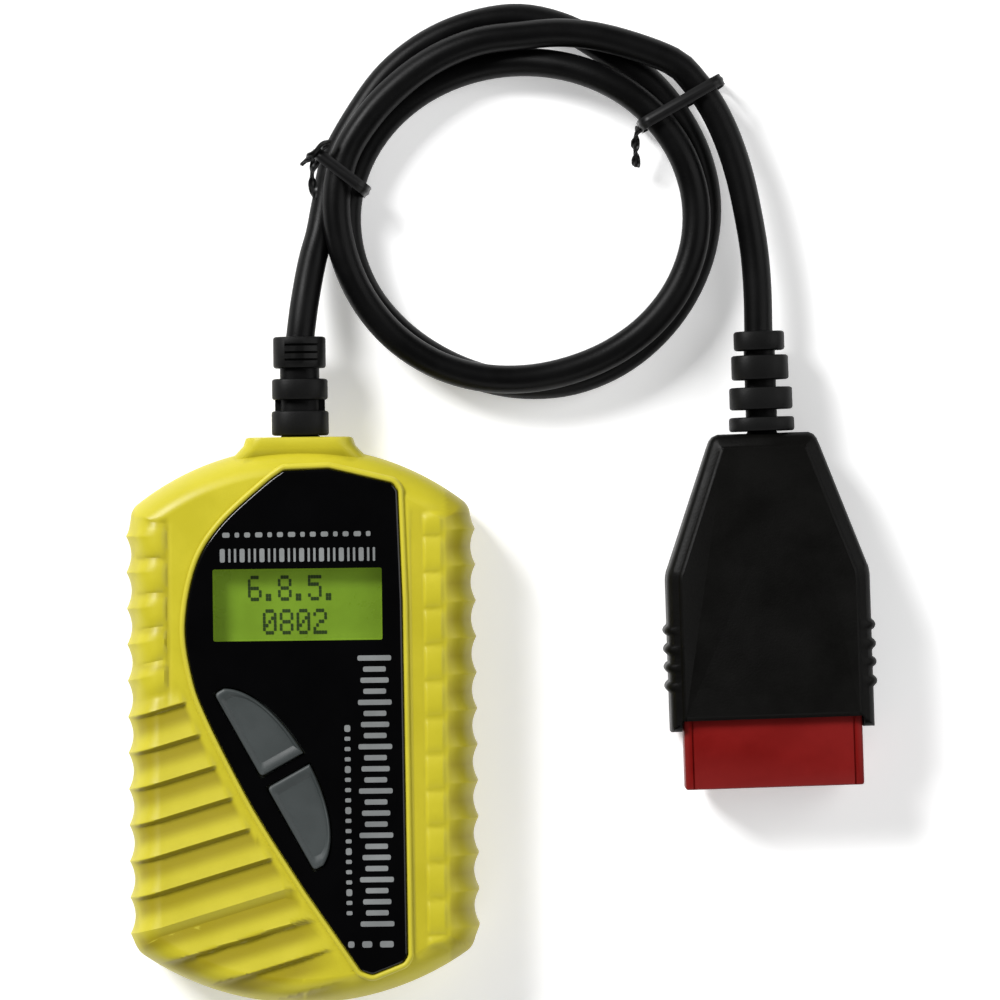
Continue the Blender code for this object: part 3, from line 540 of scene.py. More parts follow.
def case_corner(arc_y, arc_radius, inset, side):
    """The corner between a long arc and the case's side: centre, radius, and where the arc reaches it."""
    radius = max(CORNER_RADIUS - inset, 0.0004)
    reach = arc_radius - inset - radius
    x = CASE_HALF_WIDTH - inset - radius
    y = arc_y + side * math.sqrt(reach**2 - x**2)
    return (x, y), radius, math.degrees(math.atan2(y - arc_y, x))


ARC_STEPS = 54
CORNER_STEPS = 6
STEP_SLOPE = math.tan(math.radians(16.5))
RIB_ROWS = (0, 0.03, 0.07, 0.12, 0.2, 0.3, 0.4, 0.5, 0.6, 0.7, 0.8, 0.88, 0.93, 0.97)


def case_half(inset, side):
    """Half of the case's outline, from the bottom's middle to the top's, and the points' places among
    the ribs. On the left, the rows of the side climb as they go in, along the shingles."""
    lowest_rib = LOWEST_RIB[side]
    low_y = CASE_BOTTOM + BOTTOM_ARC_RADIUS
    high_y = CASE_TOP - TOP_ARC_RADIUS
    low, low_radius, low_turn = case_corner(low_y, BOTTOM_ARC_RADIUS, inset, -1)
    high, high_radius, high_turn = case_corner(high_y, TOP_ARC_RADIUS, inset, 1)
    points = arc((0, low_y), BOTTOM_ARC_RADIUS - inset, -90, low_turn, ARC_STEPS)[:-1]
    points += arc(low, low_radius, low_turn, 0, CORNER_STEPS)
    places = [(y - lowest_rib) / RIB_PITCH for _, y in points]
    for rib in range(RIB_COUNT):
        for share in RIB_ROWS:
            y = lowest_rib + (rib + share) * RIB_PITCH
            if rib < RIB_COUNT - 1 or share <= 0.2:
                climb = inset * STEP_SLOPE * shingled(rib + share) if side < 0 else 0
                points.append((CASE_HALF_WIDTH - inset, y + climb))
                places.append(rib + share)
    top = arc(high, high_radius, 0, high_turn, CORNER_STEPS)
    top += arc((0, high_y), TOP_ARC_RADIUS - inset, high_turn, 90, ARC_STEPS)[1:]
    points += top
    places += [(y - lowest_rib) / RIB_PITCH for _, y in top]
    points[0] = (0, points[0][1])
    points[-1] = (0, points[-1][1])
    return points, places


def shingled(place):
    """How much the left side's rows follow the shingles here: fully below, not at all near the top."""
    return float(1 - smooth_step(5.5, 11.0, np.array(place)))


def rib(place):
    """How far a rib stands out at this place: a narrow crest with hollow flanks."""
    if place < -0.5 or place > RIB_COUNT - 0.5:
        return 0.0
    return (1 - 2 * abs(place - round(place))) ** 1.9


def case_halves(inset, share):
    """Both halves at this inset, with the ribs standing out by a share of their height."""
    halves = {}
    for side in (1, -1):
        points, places = case_half(inset, side)
        moved = [(side * (x + share * RIB_HEIGHT * rib(place)), y) for (x, y), place in zip(points, places)]
        halves[side] = (moved, places)
    return halves


def joined(halves):
    """The two halves as one outline, counter-clockwise, their shared ends given once."""
    right, _ = halves[1]
    left, _ = halves[-1]
    return right + left[-2:0:-1]


def smooth_step(low, high, value):
    t = np.clip((value - low) / (high - low), 0, 1)
    return t * t * (3 - 2 * t)


def distance_to(outline, x, y):
    """How far each point lies from the outline."""
    nearest = np.full(x.shape, 1.0)
    ends = outline[1:] + outline[:1]
    for (ax, ay), (bx, by) in zip(outline, ends):
        dx = bx - ax
        dy = by - ay
        t = np.clip(((x - ax) * dx + (y - ay) * dy) / (dx * dx + dy * dy), 0, 1)
        nearest = np.minimum(nearest, np.hypot(x - ax - t * dx, y - ay - t * dy))
    return nearest


PAD_HEIGHT = 0.0006
STEP_HEIGHT = 0.0012
STEP_NEUTRAL = 0.35
STEPS_FROM = 6.5
STEP_BACK = 0.9
SEAM_X = 0.016
SEAM_LOW = -0.054
SEAM_HIGH = 0.051
DIAGONAL_START = (-0.013, -0.0145)
DIAGONAL_END = (0.0125, -0.0548)


def step_height(place):
    """The shingles of the lower left: each rises towards the rib below it, then drops at once."""
    share = place - np.floor(place)
    rise = np.clip(1 - share / STEP_BACK, 0, 1) ** 1.4
    drop = smooth_step(STEP_BACK, 1.0, share)
    return np.where(share < STEP_BACK, rise, drop)


def pad_shape(place, x, inner, outer):
    """A row of soft pads between two distances from the middle."""
    across = 2 * np.abs(place - np.round(place))
    round_top = 1 - across**2.6
    reach = np.abs(x)
    window = smooth_step(inner, inner + 0.001, reach) * (1 - smooth_step(outer - 0.0012, outer, reach))
    return round_top * window


def past_diagonal(x, y):
    """How far each point lies to the lower left of the dark panel's diagonal edge."""
    start = Vector(DIAGONAL_START)
    along = (Vector(DIAGONAL_END) - start).normalized()
    return (x - start.x) * along.y - (y - start.y) * along.x


def shingles(x, y, gap):
    """Height of the lower left's shingles, which end short of the dark panel, and the share of painted shade
    over the low part of each, next to its step.
    """
    along = (y - STEP_SLOPE * (x + CASE_HALF_WIDTH) - LOWEST_RIB[-1]) / RIB_PITCH
    part = (1 - smooth_step(STEPS_FROM - 0.6, STEPS_FROM + 0.2, along)) * smooth_step(0.0026, 0.004, gap)
    part = part * (1 - smooth_step(-0.002, 0.011, x))
    share = along - np.floor(along)
    return STEP_HEIGHT * (step_height(along) - STEP_NEUTRAL) * part, part * smooth_step(0.22, 0.62, share)


def relief(x, y, place, side, inset, dark_panel):
    """The grip's height over the plain face at points of one half, and its share of painted shade there:
    between the pads, in the grooves of the outer side and on the shingles.
    """
    inside = smooth_step(-0.55, -0.35, place) * (1 - smooth_step(RIB_COUNT - 0.65, RIB_COUNT - 0.45, place))
    over_edge = smooth_step(0.0004, 0.0026, inset)
    panel_gap = distance_to(dark_panel, x, y)
    flank = np.where(inside > 0.5, 2 * np.abs(place - np.round(place)), 0.5)
    edge = smooth_step(0.0318, 0.0326, np.abs(x))
    if side > 0:
        along = (y - 0.035 * (x - 0.0278) - LOWEST_RIB[1]) / RIB_PITCH
        strip = smooth_step(0.024, 0.0246, x) * (1 - smooth_step(0.0314, 0.032, x))
        strip = strip * smooth_step(-0.9, -0.6, along)
        strip = strip * (1 - smooth_step(RIB_COUNT - 0.6, RIB_COUNT - 0.2, along))
        pads = pad_shape(along - 0.32, x, 0.0268, 0.032) * inside
        below, shingle_shade = shingles(x, y, past_diagonal(x, y))
        lift = PAD_HEIGHT * (pads - 0.35 * strip) + below * over_edge
        # Painted shade: between the right pads, and on the outer side, most in the grooves between its ribs.
        shade_share = np.maximum(strip * (0.22 - 0.6 * pads), edge * (0.25 + 0.55 * flank))
        return lift, np.clip(np.maximum(shade_share, shingle_shade * over_edge), 0, 1)
    along = (y - STEP_SLOPE * (x + CASE_HALF_WIDTH) - LOWEST_RIB[-1]) / RIB_PITCH
    low_part = 1 - smooth_step(STEPS_FROM - 0.6, STEPS_FROM + 0.2, along)
    upper = inside * (1 - low_part)
    zone = smooth_step(-0.037, -0.0355, x) * (1 - smooth_step(-0.0292, -0.0282, x)) * upper
    pads = pad_shape(place + 0.1, x, 0.029, 0.0366) * upper
    below, shingle_shade = shingles(x, y, np.where(x < -0.01, panel_gap, past_diagonal(x, y)))
    lift = 1.3 * PAD_HEIGHT * (pads - 0.4 * zone) + below
    # Painted shade: between the upper left pads, and on the outer side in the grooves between its ribs.
    shade_share = np.maximum(zone * (0.5 - 0.8 * pads), 0.5 * smooth_step(0.0362, 0.0368, -x) * flank)
    shade_share = np.maximum(shade_share, shingle_shade * over_edge)
    return lift * over_edge, np.clip(shade_share, 0, 1)


# Outside of the front cover: how far in, how high, and the ribs' share
FRONT_LEVELS = [(0, PARTING_Z + 0.00015, 1), (0, 0.0136, 1), (0.00005, 0.015, 1), (0.0002, 0.0163, 1)]
FRONT_LEVELS += [(0.0006, 0.0178, 1), (0.0012, 0.0192, 0.95), (0.0019, 0.0204, 0.9), (0.0026, 0.0213, 0.8)]
FRONT_LEVELS += [(0.0033, 0.022, 0.7), (0.004, 0.0226, 0.6), (0.0046, 0.02295, 0.5)]
FRONT_LEVELS += [(0.0051, 0.0232, 0.35), (0.0056, 0.02338, 0.2), (0.0061, FACE_Z, 0.05)]
FACE_ROWS = 76
STRAIGHT_ROWS = 60
CEILING = [(0.009, 0.0214), (0.0046, 0.02), (0.003, 0.0172), (0.0022, PARTING_Z + 0.00015)]


def face_rows(halves):
    """Rows from the face's edge to the seam under the dark panel, along the shingles on the lower left."""
    right, places = halves[1]
    left, left_places = halves[-1]
    count = len(right)
    low = right[0][1]
    high = right[-1][1]
    seam_ys = []
    for i, (_, y) in enumerate(right):
        share = 0.85 * (y - low) / (high - low) + 0.15 * i / (count - 1)
        seam_ys.append(SEAM_LOW + (SEAM_HIGH - SEAM_LOW) * share)
    rows = []
    bend_x = -0.004
    for k in range(1, FACE_ROWS + 1):
        t = k / FACE_ROWS
        first = [(x + (SEAM_X - x) * t, y + (s - y) * t) for (x, y), s in zip(right, seam_ys)]
        second = []
        for (x, y), s, place in zip(left, seam_ys, left_places):
            plain = (x + (SEAM_X - x) * t, y + (s - y) * t)
            bend_y = y + (bend_x - x) * STEP_SLOPE
            straight = t * FACE_ROWS / STRAIGHT_ROWS
            if straight <= 1:
                bent = (x + (bend_x - x) * straight, y + (bend_y - y) * straight)
            else:
                late = (k - STRAIGHT_ROWS) / (FACE_ROWS - STRAIGHT_ROWS)
                bent = (bend_x + (SEAM_X - bend_x) * late, bend_y + (s - bend_y) * late)
            share = float(smooth_step(0.012, 0.03, np.array(-x))) * shingled(place)
            second.append(tuple(a + (b - a) * share for a, b in zip(plain, bent)))
        rows.append({1: (first, places), -1: (second, left_places)})
    return rows


def front_mesh(dark_panel):
    """The front cover as one closed shell: its outside with the grip's relief, and its plain inside."""
    levels = [(case_halves(inset, share), z, inset) for inset, z, share in FRONT_LEVELS]
    levels += [(rows, FACE_Z, 0.01) for rows in face_rows(levels[-1][0])]
    vertices = []
    half_count = len(levels[0][0][1][0])
    ring_count = 2 * half_count - 2
    for halves, z, inset in levels:
        heights = {}
        for side in (1, -1):
            points, places = halves[side]
            x, y = np.array(points).T
            lift, _ = relief(x, y, np.array(places), side, np.full(x.shape, inset), dark_panel)
            heights[side] = list(z + lift)
        outline = joined(halves)
        tall = heights[1] + heights[-1][-2:0:-1]
        vertices += [(x, y, h) for (x, y), h in zip(outline, tall)]
    outer_rings = len(levels) - 1
    seam_start = outer_rings * ring_count
    vertices = vertices[: seam_start + half_count]
    inner_start = len(vertices)
    for inset, z in CEILING:
        vertices += [(x, y, z) for x, y in joined(case_halves(inset, 0))]
    inner_seam = len(vertices)
    vertices += [(x, y, 0.0214) for x, y, _ in vertices[seam_start : seam_start + half_count]]

    def row_of(j):
        return j if j < half_count else ring_count - j

    last = seam_start - ring_count
    edge = inner_start + (len(CEILING) - 1) * ring_count
    lower = [*range(0, last, ring_count), *range(inner_start, edge, ring_count)]
    faces = []
    for j in range(ring_count):
        k = (j + 1) % ring_count
        for a in lower:
            b = a + ring_count
            faces.append((a + j, a + k, b + k, b + j))
        faces.append((last + j, last + k, seam_start + row_of(k), seam_start + row_of(j)))
        faces.append((inner_start + k, inner_start + j, inner_seam + row_of(j), inner_seam + row_of(k)))
        faces.append((edge + j, edge + k, k, j))
    mesh = bpy.data.meshes.new("front_case")
    mesh.from_pydata(vertices, [], faces)
    return mesh


def collar(low, high, flat_edge):
    """The collar round the cable: low and high are its flat edge and its rounded edge."""
    stations = [(0.056, 0.0172, 0.0022), (0.059, 0.0138, 0.0006), (0.0606, 0.0123, 0.0002)]
    stations += [(0.0617, 0.0119, 0), (0.0623, 0.0117, 0.0001), (COLLAR_END, 0.0112, 0.0006)]
    rings = []
    up = 1 if high > low else -1
    for y, half_width, drop in stations:
        tip = high - up * drop
        radius = 0.004
        corner = arc((half_width - radius, tip - up * radius), radius, 0, up * 90, 8)
        ring = mirrored([(half_width, flat_edge)] + corner)
        rings.append([(x, y, z) for x, z in ring])
    return loft(rings)


def turned_along_y(centre, profile, sides=48, square=2.0):
    """A body turned about a line along y: profile is (y, radius), and square over 2 squares its section."""
    rings = []
    for y, radius in profile:
        ring = []
        for i in range(sides):
            angle = math.tau * i / sides
            c = math.cos(angle)
            s = math.sin(angle)
            reach = radius / (abs(c) ** square + abs(s) ** square) ** (1 / square)
            ring.append((centre[0] + reach * c, y, centre[1] + reach * s))
        rings.append(ring)
    return loft(rings)


def overlay_outline():
    """The dark panel: a straight right side, a curved left side that runs out into a diagonal."""
    curve = [(-0.0032, 0.0551), (-0.0076, 0.0519), (-0.0172, 0.0431), (-0.0226, 0.0343), (-0.0251, 0.0215)]
    curve += [(-0.0237, 0.01), (-0.0206, 0.0011), (-0.013, -0.0145), (-0.0076, -0.0241), (0.0007, -0.0374)]
    left = [(p.x, p.y) for p in smooth_points(curve, 0.0012)]
    bottom = [(0.0125, -0.0548), (0.015, -0.0557), (0.0218, -0.053), (0.0227, -0.0515)]
    right = [(0.0224, 0.0262), (0.0217, 0.0505), (0.0206, 0.052), (0.0066, 0.0554)]
    return rounded_corners(left + bottom + right, 0.0016)


def key_outline(start, end, corner=0.0):
    """One half of the leaf of keys: the part of a half ellipse between two shares of its chord."""
    origin = Vector(KEY_CHORD_START)
    chord = Vector(KEY_CHORD_END) - origin
    half_length = chord.length / 2
    along = chord.normalized()
    across = Vector((-along.y, along.x))
    outline = []
    steps = 26
    for i in range(steps + 1):
        share = start + (end - start) * (0.5 - 0.5 * math.cos(math.pi * i / steps))
        reach = 2 * share - 1
        height = KEY_BULGE * math.sqrt(max(1 - reach**2, 0))
        outline.append(origin + along * (half_length * (1 + reach)) + across * max(height, 0.12 * KEY_BULGE))
    for share in (end, start):
        outline.append(origin + along * (2 * half_length * share))
    points = list(reversed([(p.x, p.y) for p in outline]))
    return rounded_corners(points, corner) if corner else points


def key_outlines(corner=0.0):
    length = (Vector(KEY_CHORD_END) - Vector(KEY_CHORD_START)).length
    gap = KEY_SPLIT / length / 2
    return key_outline(0.012, 0.5 - gap, corner), key_outline(0.5 + gap, 0.988, corner)


def mark_painted_shade(case, dark_panel):
    """Stores the grip's share of painted shade at each point, for the finish to darken towards the shade
    colour.
    """
    mesh = case.data
    count = len(mesh.vertices)
    points = np.empty(count * 3, np.float32)
    mesh.vertices.foreach_get("co", points)
    x, y, z = points.reshape(-1, 3).T.astype(float)
    inset = np.interp(z, (0.017, 0.0213, FACE_Z - 0.0005), (0, 0.0026, 0.01))
    depth = np.zeros(count)
    for side in (1, -1):
        chosen = x * side > 0
        place = (y - LOWEST_RIB[side]) / RIB_PITCH
        _, shade_share = relief(x, y, place, side, inset, dark_panel)
        # Here depth holds each point's share of painted shade, not a depth.
        depth = np.where(chosen, shade_share, depth)
    layer = mesh.attributes.new("painted_shade", "FLOAT", "POINT")
    layer.data.foreach_set("value", depth.astype(np.float32))


def make_front_case():
    dark_panel = overlay_outline()
    case = placed("front_case", front_mesh(dark_panel))
    dress(case.data, "case_yellow")
    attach(case, "reader")
    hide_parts("front_cover")
    carve(case, collar(0.012, 0.0205, PARTING_Z + 0.00015), "UNION")
    carve(case, turned_along_y((RELIEF_X, RELIEF_Z), [(0.054, RELIEF_BORE), (0.07, RELIEF_BORE)]))
    carve(case, prism(grown(dark_panel, 0.0002), RECESS_Z, 0.027))
    carve(case, block(WINDOW_CENTRE, (WINDOW_SIZE[0] + 0.0012, WINDOW_SIZE[1] + 0.0012), 0.019, 0.008))
    for outline in key_outlines():
        carve(case, prism(grown(outline, KEY_ROOM + 0.0003), 0.019, 0.027))
    resharpened(case, "case_yellow", 38)
    # Painted shade on the grip's grooves, pad gaps and side flanks, for the finish to darken.
    mark_painted_shade(case, dark_panel)
    rim = [(0.0002, 0.0229), (0.0002, 0.02375), (0.0004, 0.02405), (0.0008, 0.02415), (0.0012, 0.024)]
    rim += [(0.0015, 0.0229)]
    piece("panel_rim", loft(stepped(dark_panel, rim), cyclic=True), "case_yellow", smooth_angle=60)


# Rear cover, in the same terms
REAR_OUTSIDE = [(0, PARTING_Z - 0.00015, 1), (0, 0.0088, 1), (0, 0.006, 1), (0.0003, 0.0043, 1)]
REAR_OUTSIDE += [(0.0008, 0.0029, 0.9), (0.0016, 0.0017, 0.7), (0.0026, 0.0009, 0.45), (0.0038, 0.0003, 0.2)]
REAR_OUTSIDE += [(0.005, 0.0001, 0.05), (0.0062, 0, 0)]
REAR_INSIDE = [(0.009, 0.0022, 0), (0.005, 0.0026, 0), (0.003, 0.0042, 0), (0.0022, 0.0065, 0)]
REAR_INSIDE += [(0.0022, PARTING_Z - 0.00015, 0)]


GROOVES = (-0.029, -0.032, -0.035, 0.025, 0.028, 0.031)


def make_rear_case(screws):
    """The back, with its screw posts, the label's recess and the grip grooves."""
    levels = REAR_INSIDE + REAR_OUTSIDE
    rings = [[(x, y, z) for x, y in joined(case_halves(inset, share))] for inset, z, share in levels]
    case = piece("rear_case", loft(rings), "case_yellow", stands_for=["rear_cover"])
    carve(case, collar(0.012, 0.0035, PARTING_Z - 0.00015), "UNION")
    carve(case, turned_along_y((RELIEF_X, RELIEF_Z), [(0.054, RELIEF_BORE), (0.07, RELIEF_BORE)]))
    for centre in screws:
        carve(case, round_bar(centre, [(0.002, 0.0044), (0.0101, 0.0044)]), "UNION")
        hole = [(-0.001, 0.0036), (0.0004, 0.0031), (0.006, 0.0031), (0.006, 0.0017), (0.012, 0.0017)]
        carve(case, round_bar(centre, hole))
    label_recess = rounded_rectangle((0, -0.005), (0.046, 0.03), 0.0015)
    carve(case, prism(label_recess, -0.001, 0.0008))
    for y in GROOVES:
        groove = rounded_rectangle((0, y), (0.036, 0.0012), 0.00055, 3)
        carve(case, prism(groove, -0.001, 0.0005))
    resharpened(case, "case_yellow", 38)
    # Painted shade on the back's grip, as on the front, for the finish to darken.
    mark_painted_shade(case, overlay_outline())


# ---------------------------------------------------------------- face


def make_overlay():
    outline = overlay_outline()
    levels = [(0, RECESS_Z + 0.0003), (0, OVERLAY_TOP_Z - 0.00035), (-0.0001, OVERLAY_TOP_Z - 0.00015)]
    levels += [(-0.0003, OVERLAY_TOP_Z - 0.00003), (-0.0006, OVERLAY_TOP_Z)]
    body = loft(stepped(outline, levels))
    panel = piece("face_panel", body, "overlay_black", stands_for=["overlay_panel"])
    window = rounded_rectangle(WINDOW_CENTRE, (WINDOW_SIZE[0] + 0.0001, WINDOW_SIZE[1] + 0.0001), 0.0004, 3)
    carve(panel, prism(window, 0.02, 0.027))
    for key in key_outlines():
        carve(panel, prism(grown(key, KEY_ROOM), 0.02, 0.027))
    resharpened(panel, "overlay_black", 35, True)


def make_key(name, outline):
    """A key with a flange below, a rounded edge and a shallow dish on top."""
    levels = [(0.001, 0.0196), (0.001, 0.0209), (0, 0.0211), (0, 0.02425), (-0.0001, 0.0246)]
    levels += [(-0.00025, 0.02475)]
    rings = stepped(outline, levels)
    middle = sum((Vector(p) for p in outline), Vector((0, 0))) / len(outline)
    for size, z in ((0.93, 0.0248), (0.86, 0.02472), (0.8, 0.0244), (0.76, 0.02425)):
        rings.append([(*middle.lerp(Vector(p), size), z) for p in outline])
    key = piece(f"{name}_button", loft(rings), "key_grey", f"{name}_key", [f"key_{name}"], 50)
    carve(key, round_bar(box_middle(f"plunger_{name}"), [(0.0189, 0.0018), (0.0205, 0.0018)]), "UNION")
    resharpened(key, "key_grey", 50, True)


PRINT_LOW = OVERLAY_TOP_Z - 0.00002
PRINT_HIGH = OVERLAY_TOP_Z + 0.00004


def make_prints():
    """Plain marks on the panel: two dashed rows, a scale with a dotted line, and three shapes."""
    bm = bmesh.new()

    def mark(x, y, wide, high):
        prism(rounded_rectangle((x, y), (wide, high), min(wide, high) * 0.3, 2), PRINT_LOW, PRINT_HIGH, bm)

    def dashes(x, y, count, wides, gap, high):
        for i in range(count):
            wide = wides[i % len(wides)]
            mark(x + wide / 2, y, wide, high)
            x += wide + gap

    dashes(-0.0168, 0.0411, 14, (0.0016, 0.001, 0.0013), 0.0011, 0.0011)
    dashes(-0.0174, 0.0366, 24, (0.0011, 0.0005, 0.0005), 0.00075, 0.003)
    for i in range(25):
        mark(0.0162, 0.0138 - 0.00243 * i, (0.0074, 0.005, 0.0062, 0.005)[i % 4], 0.00115)
    for i in range(19):
        mark(0.0101, -0.0016 - 0.00225 * i, 0.0013, 0.0009 if i % 4 else 0.0015)
    for x, wide in ((0.0104, 0.0014), (0.0139, 0.0022), (0.0182, 0.003)):
        mark(x, -0.049, wide, 0.0014)
    piece("face_marks", bm, "print_grey")


DIGITS = {
    "0": ("01110", "10001", "10011", "10101", "11001", "10001", "01110"),
    "2": ("01110", "10001", "00001", "00110", "01000", "10000", "11111"),
    "5": ("11111", "10000", "11110", "00001", "00001", "10001", "01110"),
    "6": ("01110", "10000", "10000", "11110", "10001", "10001", "01110"),
    "8": ("01110", "10001", "10001", "01110", "10001", "10001", "01110"),
    ".": ("00000", "00000", "00000", "00000", "00000", "01100", "01100"),
}
DOT_X = 0.0006
DOT_Y = 0.0008


def make_digits():
    """Two rows of dot-matrix digits on the display's glass."""
    glass_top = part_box("lcd_glass")[1][2]
    bm = bmesh.new()
    for text, left, top, pitch in (("6.8.5.", -0.0112, 0.0317, 0.0033), ("0802", -0.008, 0.0243, 0.0037)):
        for i, character in enumerate(text):
            for row, line in enumerate(DIGITS[character]):
                for column, lit in enumerate(line):
                    if lit == "1":
                        centre = (left + i * pitch + column * DOT_X, top - row * DOT_Y)
                        dot = rounded_rectangle(centre, (DOT_X * 0.97, DOT_Y * 0.97), 0.00008, 1)
                        prism(dot, glass_top + 0.00002, glass_top + 0.0001, bm)
    piece("display_digits", bm, "lcd_dark")


# ---------------------------------------------------------------- on the cable


def banded(bands, root, round_edge=0.0005):
    """A turned profile of raised bands (start, end, radius) with rounded edges and grooves between."""
    profile = []
    for start, end, radius in bands:
        if profile and start > profile[-1][0] + 1e-5:
            profile += [(profile[-1][0] + 0.00005, root), (start - 0.00005, root)]
        for share, drop in ((0, 1), (0.3, 0.3), (1, 0)):
            profile.append((start + round_edge * share, radius - round_edge * drop))
        for share, drop in ((1, 0), (0.3, 0.3), (0, 1)):
            profile.append((end - round_edge * share, radius - round_edge * drop))
    return profile


def make_reader_relief():
    bands = [(0.0545, 0.0565, 0.0057), (0.0565, 0.0629, 0.0044), (0.0629, 0.0683, 0.0063)]
    bands += [(0.0708, 0.0754, 0.00615), (0.0778, 0.0847, 0.0058)]
    shape = turned_along_y((RELIEF_X, RELIEF_Z), banded(bands, 0.00435), 48, 3.0)
    relief_piece = piece("reader_boot", shape, "relief_black", stands_for=["reader_relief"])
    for y in (0.0796, 0.0812, 0.0829):
        for side in (1, -1):
            place = (RELIEF_X + side * 0.0006, y)
            carve(relief_piece, block(place, (0.0074, 0.0005), RELIEF_Z + side * 0.0049, side * 0.003))
    for y in (0.0731, 0.0693):
        for side in (1, -1):
            web = block((RELIEF_X + side * 0.0047, y), (0.0016, 0.003), RELIEF_Z - 0.0012, 0.0024)
            carve(relief_piece, web, "UNION")
    resharpened(relief_piece, "relief_black")


def ribbon(points, sides, half_width, thickness, cyclic=False):
    """A flat band with a wire's ridge along its middle; sides says which way it is wide at each point."""
    section = [(-1, -0.35), (-0.45, -0.4), (-0.2, -1), (0.2, -1), (0.45, -0.4), (1, -0.35)]
    section += [(1, 0.35), (0.45, 0.4), (0.2, 1), (-0.2, 1), (-0.45, 0.4), (-1, 0.35)]
    rings = []
    count = len(points)
    for i, (point, side) in enumerate(zip(points, sides)):
        before = points[i - 1] if cyclic or i else points[0]
        after = points[(i + 1) % count] if cyclic or i < count - 1 else points[-1]
        along = (after - before).normalized()
        side = (side - along * side.dot(along)).normalized()
        up = along.cross(side)
        rings.append([point + side * (half_width * w) + up * (thickness / 2 * t) for w, t in section])
    return loft(rings, cyclic)


LEFT_TAIL = [(0.0068, 0.1275, 0.0125), (0.0048, 0.1245, 0.0128), (0.0035, 0.1205, 0.013)]
LEFT_TAIL += [(0.0041, 0.1149, 0.0128)]
LEFT_STUB = [(0.0075, 0.1278, 0.0135), (0.0058, 0.1272, 0.015), (0.004, 0.1252, 0.014)]
LEFT_STUB += [(0.0012, 0.1228, 0.0128)]
RIGHT_TAIL = [(0.0762, 0.1304, 0.0085), (0.0754, 0.1288, 0.008), (0.0752, 0.126, 0.0068)]
RIGHT_TAIL += [(0.0754, 0.1219, 0.005)]


def make_tie(name, inner_turn, outer_turn, outer_reach, tails, stands_for):
    """A twist tie: a flat band round the coil's section, and its twisted ends."""
    inner_angle = math.radians(inner_turn)
    inner = slot_radius(inner_angle, 1) - CABLE_RADIUS - 0.0003
    centre = Vector(COIL_CENTRE)
    near = centre + inner * heading(inner_angle)
    far = centre + outer_reach * heading(math.radians(outer_turn))
    across = (far - near).normalized()
    length = (far - near).length
    out = 0.00055
    middle = (length / 2, (COIL_BOTTOM_Z + COIL_TOP_Z) / 2)
    size = (length + 2 * out, COIL_TOP_Z - COIL_BOTTOM_Z + 2 * out)
    loop = rounded_rectangle(middle, size, 0.0024, 6)
    points = [Vector((*(near + across * reach), z)) for reach, z in loop]
    wide = Vector((-across.y, across.x, 0))
    band = ribbon(points, [wide] * len(points), 0.0013, 0.0007, cyclic=True)
    piece(name, band, "tie_black", stands_for=[stands_for])
    for number, (tail, turns) in enumerate(tails, 1):
        line = smooth_points(tail, 0.0004)
        sides = []
        for i in range(len(line)):
            angle = math.tau * turns * i / len(line)
            sides.append(Vector((math.cos(angle), 0.3 * math.cos(angle), math.sin(angle))))
        piece(f"{name}_end_{number}", ribbon(line, sides, 0.001, 0.0009), "tie_black")


# ---------------------------------------------------------------- plug


def side_ribs(y):
    """How far the hood's side stands out at this place."""
    for centre in (0.0352, 0.031, 0.027, 0.0228):
        gap = abs(y - centre)
        if gap < 0.0012:
            return 0.0009 * math.cos(gap / 0.0012 * math.pi / 2) ** 0.7
    return 0.0


def hood_outline(inset, ribs):
    """The hood seen from above, counter-clockwise, moved inwards by inset."""
    right = [(HOOD_HALF_WIDTH, HOOD_FRONT)]
    steps = 96
    low = HOOD_FRONT + 0.0008
    high = HOOD_SHOULDER - 0.002
    for i in range(steps + 1):
        y = low + (high - low) * i / steps
        right.append((HOOD_HALF_WIDTH + ribs * side_ribs(y), y))
    for out, past in ((-0.0001, -0.001), (-0.0003, 0), (-0.0007, 0.001)):
        right.append((HOOD_HALF_WIDTH + out, HOOD_SHOULDER + past))
    for out, past in ((0.001, -0.0029), (0.0004, -0.0014), (-0.0003, -0.0005), (-0.0014, 0)):
        right.append((HOOD_BACK_HALF_WIDTH + out, HOOD_BACK + past))
    return grown(mirrored(right), -inset)


def hood_height(y):
    """The share of the hood's full height here: it falls away from the shoulder to the cable."""
    slope = (y - HOOD_SHOULDER) / (HOOD_BACK - HOOD_SHOULDER)
    return 1 - 0.27 * min(max(slope, 0), 1)


